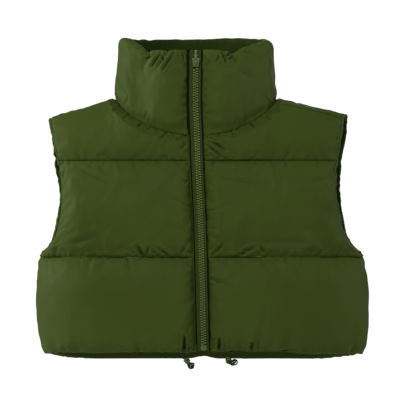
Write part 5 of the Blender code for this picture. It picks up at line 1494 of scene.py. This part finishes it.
# hem tunnels, which carry the elastic
tunnelSettings = {
    "wall": 0.0022,
    "columns": 150,
    "backColumns": 300,
    "girth": 0.029,
    # the section: how far down, and how far out in walls
    "section": [(0.0, 0.0), (0.0, 0.5), (0.03, 0.95), (0.14, 1.10), (0.35, 1.22), (0.60, 1.24), (0.82, 1.12),
                (0.93, 0.95), (0.985, 0.70), (1.0, 0.45), (0.985, 0.18), (0.93, 0.02), (0.75, -0.10), (0.45, -0.12),
                (0.15, -0.04)],
}
hemLines = []


def tunnelRing(side, angle):
    s = tunnelSettings
    low = float(hemHeight(angle))
    top = low + form["tunnelHeight"] - form["seamGap"]
    upper, lower = bodyPoint(side, angle, top), bodyPoint(side, angle, low)
    run = bodyPoint(side, min(angle + 1, 179.9), low) - bodyPoint(side, max(angle - 1, 0.1), low)
    outward = unit(np.cross(run, [0.0, 0.0, 1.0]) * side)
    outward = outward if outward @ lower > 0 else -outward
    return np.array([upper + (lower - upper) * down + outward * s["wall"] * out for down, out in s["section"]]), outward


def evenAngles(first, last, height, count):
    fine = np.linspace(first, last, 400)
    lengths = lengthsAlong(bodyPoint(1, fine, height))
    return np.interp(np.linspace(0, lengths[-1], count + 1), lengths, fine)


def makeTunnels():
    s = tunnelSettings
    front = evenAngles(angleAcross(form["zipOpening"], 0.22), 90, form["hemFront"], s["columns"])
    back = evenAngles(90, 180, form["hemBack"], s["backColumns"] // 2)
    half = form["seamGap"] / 2
    jobs = [("right", [(-1, a) for a in front], -half), ("left", [(1, a) for a in front], -half),
            ("back", [(-1, a) for a in back] + [(1, a) for a in back[-2::-1]], half)]
    for seed, (word, places, gap) in enumerate(jobs):
        rings, outward = (np.array(part) for part in zip(*(tunnelRing(side, a) for side, a in places)))
        rings[[0, -1] if word == "back" else -1, :, 1] += gap
        walk = lengthsAlong(rings[:, 5])
        # the elastic inside draws the tunnel into small upright gathers
        down = np.linspace(0, 1, rings.shape[1])[None]
        ripple = 0.0005 * softNoise(walk[:, None] / 0.0042, down * 1.5, 1300 + seed) \
            + 0.0003 * softNoise(walk[:, None] / 0.011, down, 1310 + seed)
        belly = np.sin(math.pi * np.clip(down * 1.6, 0, 1)) + 0.3
        rings = rings + outward[:, None] * (ripple * belly)[..., None]
        flat = flatGrid(np.linspace(0, s["girth"], rings.shape[1] + 1), walk)
        patch = newPatch()
        addGrid(patch, rings, flat, around=True)
        addEndCaps(patch, rings, flat)
        hemLines.append((rings[:, 3] + outward * 0.0001, outward))
        addPiece("hemTunnel_" + word, patch, [bindingTaffeta], "trim", "hem_tunnel_" + word)


makeTunnels()
print("hem made")

# zip: woven tapes, moulded teeth, stops, box, slider and pull tab
zipSettings = {
    "wider": {"right": 0.0016, "left": -0.0004},  # how much more of the tape shows
    "tapeFace": -0.0006,
    "tapeThickness": 0.001,
    "tapeTop": 0.0735,
    "tapeBottom": -0.3745,
    "tapeRows": 260,
    "teethTop": 0.0475,
    "teethFoot": -0.3660,
    "pitch": 0.00375,
    # in millimetres, half a tooth's outline from the tape's side to its head: across from the middle, half-height
    "tooth": [(4.05, 1.05), (3, 1.25), (2.1, 1.20), (1.5, 0.80), (0.9, 0.62), (0.3, 0.74), (-0.3, 0.70), (-0.7, 0.40)],
    "toothMiddle": (1.8, 0),
    # in millimetres, how far across and how far behind the tape's face: a corded bead beside the teeth, then a dip
    # between the tape's woven edge and the padding that is sewn over it, and a flat selvedge at the far edge
    "tapeBack": [(0.4, -0.2), (1.2, 0), (4, 0), (7.2, 0), (8.2, 3.4), (9.8, 4.4), (11.6, 4), (12.8, 0), (15.1, 0),
                 (15.5, -0.3)],
    "tapeFront": [(15.5, 0.3), (15.1, 0.1), (13, 0.3), (11.6, 3.8), (9.6, 4.2), (8.3, 3.2), (7.7, -0.1), (7.3, -0.15),
                  (6.9, 0.2), (6, 0.3), (5, 0.1), (4.4, 0.1), (1.2, 0.1), (0.4, 0.3)],
    "tapeShows": (6.8, 13.5),
    "toothFront": 0.0026,
    "stopHeight": 0.0655,
    "sliderHeight": 0.0548,
    "sliderLength": 13.5,
    "sliderDepth": 4.8,
    "bridgeReach": 0.0042,
    "bridgeRise": 0.0038,
    "bridgeBar": 0.0011,
    "tabLean": 5.5,
    "tabOut": 0.0013,
    "tabThickness": 0.0012,
    "boxRise": 0.0042,
    # in millimetres, the box's outline
    "box": [(-4.4, -3.8), (4.4, -3.8), (4.4, 3), (3.6, 3.8), (-3.6, 3.8), (-4.4, 3)],
    # in millimetres: foot, arm, slot, top of the slot, neck, shoulder, tip
    "tab": (0.7, 2.9, 1.6, 6.2, 1.9, 8.5, 18.5),
}


def zipPoint(height, across, out):
    height = np.asarray(height, float)
    return np.stack(np.broadcast_arrays(zipMiddle(height) + across, -zipDepth(height) - out, height), axis=-1)


def zipTilt(height):
    return float(-np.arctan2(zipDepth(height - 0.004) - zipDepth(height + 0.004), 0.008))


def makeTapes(s):
    section = []
    for table, face in ((s["tapeBack"], s["tapeFace"] - s["tapeThickness"]), (s["tapeFront"], s["tapeFace"])):
        section += [(across, face - behind) for across, behind in inMetres(table).tolist()]
    wideFrom, wideTo = inMetres(s["tapeShows"])
    heights = np.linspace(s["tapeBottom"], s["tapeTop"], s["tapeRows"] + 1)
    girth = np.append(0, np.cumsum(np.hypot(*np.diff(np.array(section + section[:1]), axis=0).T)))
    flat = flatGrid(girth, heights)
    for side, word in bothSides:
        wave = 0.00012 * softNoise(heights / 0.02, 0, 1400 + side)
        rings = np.stack([zipPoint(heights, side * (across + (s["wider"][word] if wideFrom < across < wideTo else 0)),
                                   out + wave * min(across / 0.004, 1)) for across, out in section], axis=1)
        patch = newPatch()
        addGrid(patch, rings, flat, around=True)
        # the part beside the padding, under the front's turned edge, takes the darkened lining finish: a painted shadow
        # line beside the teeth
        patch["slots"][0] = np.tile([1 if 4 <= k <= 15 or k > 20 else 0 for k in range(len(section))], len(heights) - 1)
        addEndCaps(patch, rings, flat)
        addPiece("zipTape_" + word, patch, [tapeTwill, liningTaffeta], "zip_tape", "zip_tape_" + word, keepSharp=50)


def makeTeeth(s):
    half = inMetres(s["tooth"])
    outline = np.concatenate([half, half[::-1] * [1, -1]])
    middle = inMetres(s["toothMiddle"])
    low, high = s["tapeFace"] + 0.0003, s["tapeFace"] + s["toothFront"]
    layers = [(0.0, low), (1.0, low), (1.0, high - 0.0007), (0.95, high - 0.0003), (0.82, high), (0.0, high)]
    flat = np.zeros((len(layers), len(outline) + 1, 2))  # a moulding has no pattern
    for side, word, lag in ((-1, "right", 0.0), (1, "left", 0.5)):
        patch = newPatch()
        for k in range(int((s["teethTop"] - s["teethFoot"]) / s["pitch"])):
            height = s["teethFoot"] + (k + 0.3 + lag) * s["pitch"]
            across, up = (middle + (outline - middle) * np.array([size for size, _ in layers])[:, None, None]).T
            rings = [zipPoint(height + up[:, n], side * across[:, n], out) for n, (_, out) in enumerate(layers)]
            addGrid(patch, rings, flat, around=True)
        addPiece("zipTeeth_" + word, patch, [mouldedAcetal], "zip_teeth", "zip_teeth_" + word, weld=0.000004,
                 keepSharp=55)


def turnedPatch(shapes, place, tilt):
    # moves closed grids, made flat in X and Z and facing -Y, to their place on the leaning zip
    patch = newPatch()
    cos, sin = math.cos(tilt), math.sin(tilt)
    for grid in shapes:
        grid = np.asarray(grid, float)
        x, y, z = grid[..., 0], grid[..., 1], grid[..., 2]
        turned = np.stack([x, y * cos - z * sin, y * sin + z * cos], axis=-1) + np.asarray(place, float)
        addGrid(patch, turned, np.zeros((grid.shape[0] + 1, grid.shape[1] + 1, 2)), around=True)
    return patch


def roundedPrism(outline, low, high, soft, steps=4):
    # an outline in X and Z drawn from Y low to Y high, given in millimetres, with its front edge rounded
    low, high, soft = inMetres([low, high, soft]).tolist()
    run = unit(np.roll(outline, -1, axis=0) - np.roll(outline, 1, axis=0))
    inward = np.stack([-run[:, 1], run[:, 0]], axis=1)
    centre = outline.mean(axis=0)
    inward *= np.where(np.sum(inward * (centre - outline), axis=1, keepdims=True) < 0, -1, 1)
    towards = math.copysign(1, high - low)
    layers = [(None, low), (soft * 0.5, low), (0, low + towards * soft * 0.5)]
    for k in range(steps + 1):
        turn = math.pi / 2 * k / steps
        layers.append((soft * (1 - math.cos(turn)), high - towards * soft * (1 - math.sin(turn))))
    layers.append((None, high))
    rings = []
    for inset, y in layers:
        flatRing = np.repeat(centre[None], len(outline), axis=0) if inset is None else outline + inward * inset
        rings.append(np.stack([flatRing[:, 0], np.full(len(outline), y), flatRing[:, 1]], axis=-1))
    return np.array(rings)


def rectangle(x, low, high):
    return [(-x, low), (x, low), (x, high), (-x, high)]


def smoothOutline(corners, count, soft=0.25):
    # a closed outline through corners in millimetres, each cut back and rounded
    corners = inMetres(corners)
    line = []
    for before, here, after in zip(np.roll(corners, 1, axis=0), corners, np.roll(corners, -1, axis=0)):
        a, b = here + (before - here) * soft, here + (after - here) * soft
        for t in np.linspace(0, 1, 6):
            line.append((1 - t) ** 2 * a + 2 * t * (1 - t) * here + t * t * b)
    line = np.array(line)
    closed = np.concatenate([line, line[:1]])
    lengths = lengthsAlong(closed)
    at = np.linspace(0, lengths[-1], count + 1)[:-1]
    return np.stack([np.interp(at, lengths, closed[:, k]) for k in range(2)], axis=-1)


def makeStops(s):
    for side, word in bothSides:
        shape = roundedPrism(smoothOutline(rectangle(1.3, -1.7, 1.7), 32), 1.1, -1.1, 0.6)
        patch = turnedPatch([shape], zipPoint(s["stopHeight"], side * 0.0024, 0.0008), zipTilt(s["stopHeight"]))
        addPiece("topStop_" + word, patch, [mouldedAcetal], "zip_teeth", "zip_stop_" + word, keepSharp=50)
    height = s["tapeBottom"] + s["boxRise"]
    box = roundedPrism(smoothOutline(s["box"], 60, 0.2), 1.5, -1.5, 0.7)
    lip = roundedPrism(smoothOutline(rectangle(3, -0.2, 2.2), 48), -1, -1.8, 0.3)
    patch = turnedPatch([box, lip], zipPoint(height, 0, 0.0012), zipTilt(height))
    addPiece("zipBox", patch, [mouldedAcetal], "zip_teeth", "zip_box", keepSharp=50)


def sliderBridge(s, plate):
    # the arch that the tab hangs from
    turn = np.linspace(0, math.pi, 30)
    rise, bar = s["bridgeRise"], s["bridgeBar"]
    reach = s["bridgeReach"] - bar / 2
    arch = [(0.0, plate + 0.0006, reach)]
    arch += [(0.0, plate - (rise - bar / 2) * math.sin(t) ** 0.7, reach * math.cos(t)) for t in turn]
    arch += [(0.0, plate + 0.0006, -reach)]
    bridge = newPatch()
    addTube(bridge, arch, bar / 2, 14, flatten=(0.0010, np.repeat([[1.0, 0, 0]], len(arch), axis=0)))
    return bridge["points"][0].reshape(-1, 14, 3)


def makeSlider(s, place, lean):
    half = s["sliderLength"] / 2
    side = [(4.2, -half), (4.8, -0.2 * half), (6.0, 0.45 * half), (5.8, 0.9 * half), (3.2, half)]
    outline = smoothOutline(side + [(-x, z) for x, z in side[::-1]], 72, 0.3)
    depth = s["sliderDepth"]
    lower = roundedPrism(outline, 0, -1.4, 0.4)
    upper = roundedPrism(outline, -3, -depth, 0.7, 5)
    post = roundedPrism(smoothOutline([(-1.6, 1.2), (1.6, 1.2), (1.1, 6.2), (-1.1, 6.2)], 36), -1.2, -3.2, 0.2)
    flanges = []
    for way in (-1, 1):
        rim = [(way * x, z) for x, z in side[:4]]
        inner = [(x - way * 0.9, z) for x, z in rim[::-1]]
        flanges.append(roundedPrism(smoothOutline(rim + inner, 48, 0.15), -1, -3.4, 0.3))
    patch = turnedPatch([lower, upper, post, *flanges, sliderBridge(s, -depth / 1000)], place, lean)
    addPiece("zipSlider", patch, [paintedZinc], "zip_slider", "zip_slider", keepSharp=45)


def makePullTab(s, place, lean):
    out = -s["sliderDepth"] / 1000 - s["tabOut"]
    at = place + np.array([0, out * math.cos(lean), out * math.sin(lean)])
    foot, arm, slot, top, neck, shoulder, tip = s["tab"]
    outer = smoothOutline([(-arm, -foot), (arm, -foot), (arm, top), (neck, shoulder), (neck, tip), (-neck, tip),
                           (-neck, shoulder), (-arm, top)], 96, 0.18)
    hole = smoothOutline(rectangle(slot, foot, top - 0.6), 96, 0.3)
    for line in (outer, hole):  # both outlines start below the middle, so that their points face each other
        first = int(np.argmin(np.abs(line[:, 0]) + 10 * np.maximum(line[:, 1] - line[:, 1].mean(), 0)))
        line[:] = np.roll(line, -first, axis=0)
    thick = s["tabThickness"] / 2
    towardHole = hole - outer
    towardHole = towardHole / np.linalg.norm(towardHole, axis=1, keepdims=True)
    loops = []
    for line, inset, y in ((outer, 0.3, 1), (outer, 0, 0.5), (outer, 0, -0.4), (outer, 0.2, -0.9), (outer, 0.5, -1),
                           (hole, -0.3, -1), (hole, 0, -0.5), (hole, 0, 0.5), (hole, -0.3, 1)):
        flat = line + towardHole * inset / 1000
        loops.append(np.stack([flat[:, 0], np.full(len(flat), y * thick), flat[:, 1]], axis=-1))
    body = np.array(loops).transpose(1, 0, 2)
    body = np.concatenate([body, body[:1]])
    # a raised grip near the tip
    grip = roundedPrism(smoothOutline(rectangle(1.1, 12.5, 17.2), 36), -0.3, -0.85, 0.2)
    patch = turnedPatch([body, grip], at, -math.radians(s["tabLean"]))
    addPiece("pullTab", patch, [paintedZinc], "zip_slider", "zip_pull_tab", body="pull_tab", keepSharp=50)


makeTapes(zipSettings)
makeTeeth(zipSettings)
makeStops(zipSettings)
sliderPlace, sliderLean = zipPoint(zipSettings["sliderHeight"], 0, -0.0003), zipTilt(zipSettings["sliderHeight"])
makeSlider(zipSettings, sliderPlace, sliderLean)
makePullTab(zipSettings, sliderPlace, sliderLean)
print("zip made")

# sewing: stitches along the bindings, tapes and hem, pocket slits with bartacks, eyelets for the drawcords
sewingSettings = {
    "pitch": 0.0034,
    "stitch": 0.0025,
    "thread": 0.0003,  # a thread is half as thick, it is drawn so that it still shows
    # right and left pocket: from and to across the front, and the bartack's two ends and height
    "pockets": {-1: (-0.2080, -0.0890, -0.1080, -0.0900, -0.2362), 1: (0.0780, 0.2020, 0.0780, 0.0940, -0.2340)},
    "lip": 0.0011,
    "tackPitch": 0.00055,
    "shoulderDrop": 0.0070,  # on the left the shoulder seam lies this far below the shoulder's crest
    "eyelet": 0.0019,
}


def stitchLine(patch, line, out, s, lift=0.0):
    # lock stitches along a line of points, each a short thread that dips into the cloth at both ends
    lengths = lengthsAlong(line)
    count = int(lengths[-1] / s["pitch"])
    bow = np.array([-0.9, 0.45, 0.8, 0.45, -0.9]) * s["thread"] + lift
    for k in range(count):
        at = k * s["pitch"] + np.linspace(0, s["stitch"], 5)
        here = np.stack([np.interp(at, lengths, line[:, n]) for n in range(3)], axis=-1)
        up = unit(np.stack([np.interp(at, lengths, out[:, n]) for n in range(3)], axis=-1))
        addTube(patch, here + up * bow[:, None], s["thread"], 6)


def makeStitches(s):
    for side, word in bothSides:
        patch = newPatch()
        stitchLine(patch, *bindingLines[side], s)
        addPiece("bindingStitches_" + word, patch, [sewingThread], "trim")
        patch = newPatch()
        heights = np.linspace(zipSettings["tapeBottom"] + 0.004, zipSettings["tapeTop"] - 0.004, 400)
        line = zipPoint(heights, side * (0.0070 + zipSettings["wider"][word]), zipSettings["tapeFace"])
        stitchLine(patch, line, np.repeat([[0.0, -1.0, 0.0]], len(line), axis=0), s)
        addPiece("tapeStitches_" + word, patch, [sewingThread], "trim")
    patch = newPatch()
    for line, out in hemLines:
        stitchLine(patch, line, out, s)
    addPiece("hemStitches", patch, [sewingThread], "trim")


def pieceNamed(name):
    return next(piece for piece in pieces if piece["name"] == name)


def tapered(walk, length, least):
    return np.clip(np.minimum(walk, walk[-1] - walk) / length, least, 1)


def makePockets(s):
    for side, word in bothSides:
        start, end, tackStart, tackEnd, tackHeight = s["pockets"][side]
        patch = newPatch()
        for name, row, drop in (("frontLower_", -1, -0.0009), ("frontMiddle_", 0, 0.0009)):
            edge = pieceNamed(name + word)["outer"][row]
            line = along(edge[(edge[:, 0] > start) & (edge[:, 0] < end)], np.linspace(0, 1, 90))
            walk = lengthsAlong(line)
            line[:, 1] -= 0.0002 + 0.0004 * softNoise(walk / 0.013, 0, 1500 + side)
            line[:, 2] += drop + 0.0003 * softNoise(walk / 0.009, 0, 1510 + side)
            addTube(patch, line, s["lip"] * tapered(walk, 0.006, 0.15), 10)
        edge = pieceNamed("frontLower_" + word)["outer"][-1]
        edge = edge[np.argsort(edge[:, 0])]
        # a tube in the darkened lining finish paints the shade of a small hollow at the pocket's inner end
        across = (tackEnd if side < 0 else tackStart) - side * np.linspace(0.0006, 0.0048, 7)
        deep = np.interp(across, edge[:, 0], edge[:, 1]) - 0.0008
        hollow = np.stack([across, deep, 0 * across + tackHeight], axis=-1)
        addTube(patch, hollow, 0.0017 * np.sin(np.linspace(0.35, 2.9, 7)), 10, 1)
        addPiece("pocketLips_" + word, patch, [bindingTaffeta, liningTaffeta], "trim")
        patch = newPatch()
        for k, x in enumerate(np.arange(tackStart, tackEnd, s["tackPitch"])):
            y = float(np.interp(x, edge[:, 0], edge[:, 1])) - 0.0016
            lean = 0.0004 if k % 2 else -0.0004
            rise = 0.00115 + 0.0001 * math.sin(k * 2.1)
            addTube(patch, [(x - lean, y + 0.0008, tackHeight - rise), (x - lean / 2, y, tackHeight - rise * 0.6),
                            (x + lean / 2, y, tackHeight + rise * 0.6), (x + lean, y + 0.0008, tackHeight + rise)],
                    s["thread"], 6)
        addPiece("bartack_" + word, patch, [bartackThread], "trim")


def makeShoulderSeam(s):
    # the left shoulder's seam is a turned and pressed edge; its line is drawn in the darkened lining finish as a
    # painted shadow line
    yoke = pieceNamed("frontYoke_left")["outer"]
    line = []
    for column in range(yokeSettings["neckColumns"] - 2, yoke.shape[1] - 1):
        rising = yoke[:int(np.argmax(yoke[:, column, 2])) + 1, column]
        line.append([np.interp(rising[-1, 2] - s["shoulderDrop"], rising[:, 2], rising[:, k]) for k in range(3)])
    line = np.array(line)
    for _ in range(6):
        line[1:-1] = (line[:-2] + 2 * line[1:-1] + line[2:]) / 4
    patch = newPatch()
    addTube(patch, line, 0.0007 * tapered(lengthsAlong(line), 0.004, 0.2), 8)
    addTube(patch, line + [0, -0.0003, -0.0012], 0.0006, 8, 1)
    addPiece("shoulderSeam", patch, [liningTaffeta, shellTaffeta], "trim")


def makeEyelets(s):
    patch = newPatch()
    turn = np.linspace(0, 2 * math.pi, 29)[:-1]
    for word in ("right", "left"):
        for x, y, z in inMetres(cordSettings[word]["route"])[[0, -1]]:
            ring = np.stack([x + s["eyelet"] * np.cos(turn), y + s["eyelet"] * np.sin(turn), z + 0.0004 + 0 * turn],
                            axis=-1)
            addTube(patch, ring, 0.0006 + 0.00008 * np.cos(14 * turn), 8, closed=True)
    addPiece("cordEyelets", patch, [sewingThread], "trim")


makeStitches(sewingSettings)
makePockets(sewingSettings)
makeShoulderSeam(sewingSettings)
makeEyelets(sewingSettings)
print("sewing made")

# studio: white surroundings, soft lamps and a pale floor well below the vest
studioSettings = {
    "background": 1.1,
    "ambient": 0.12,
    "lamps": [
        # name, place, size, power, aim
        ("keyLamp", (-3.0, 0.6, 1.0), 1.0, 54, (0, 0, -0.12)),
        ("rimLamp", (-2.9, 0.8, 0.3), 0.9, 40, (-0.1, 0, -0.12)),
        ("frontLamp", (-0.35, -2.5, 1.9), 1.2, 71, (0, 0, -0.20)),
        ("sideLamp", (2.9, 0.7, 0.4), 1.2, 31, (0, 0, -0.18)),
        ("topLamp", (0.0, 0.5, 2.4), 1.8, 3, (0, 0, -0.1)),
        ("backLamp", (0.4, 2.9, 0.3), 2.0, 16, (0, 0, -0.15)),
    ],
    "floorHeight": -0.6,
    "floorRadius": 2.4,
}


def makeStudio(s):
    bpy.context.scene.view_settings.view_transform = "Standard"  # so that the cloth's hex colours are what the eye gets
    world = bpy.data.worlds.new("studio")
    bpy.context.scene.world = world
    world.use_nodes = True
    tree = world.node_tree
    tree.nodes.clear()
    room = addNode(tree, "Background", {"Color": linear("#f4f6fa"), "Strength": s["ambient"]})
    paper = addNode(tree, "Background", {"Color": (1, 1, 1, 1), "Strength": s["background"]})
    seen = addNode(tree, "LightPath").outputs["Is Camera Ray"]
    both = addNode(tree, "MixShader", {0: seen, 1: room.outputs[0], 2: paper.outputs[0]})
    addNode(tree, "OutputWorld", {"Surface": both.outputs[0]})
    for name, place, size, power, aim in s["lamps"]:
        lamp = bpy.data.lights.new(name, "AREA")
        lamp.shape = "DISK"
        lamp.size = size
        lamp.energy = power
        obj = bpy.data.objects.new(name, lamp)
        addToScene(obj)
        obj.location = place
        obj.rotation_euler = (Vector(aim) - Vector(place)).to_track_quat("-Z", "Y").to_euler()
    bm = bmesh.new()
    bmesh.ops.create_circle(bm, cap_ends=True, radius=s["floorRadius"], segments=96)
    mesh = bpy.data.meshes.new("floor")
    bm.to_mesh(mesh)
    bm.free()
    floor = bpy.data.objects.new("floor", mesh)
    floor.location.z = s["floorHeight"]
    addToScene(floor)
    # matt studio paper, just off white
    paperFloor, tree, shader = newFinish("studioPaper", 0.9)
    grain = addNode(tree, "TexNoise", {"Scale": 60.0, "Detail": 3.0})
    tone = addNode(tree, "Mix", {"Factor": grain.outputs["Fac"], 6: linear("#dcdcda"), 7: linear("#e4e4e2")},
                   data_type="RGBA")
    tree.links.new(tone.outputs[2], shader.inputs["Base Color"])
    mesh.materials.append(paperFloor)


makeStudio(studioSettings)
print("studio ready")
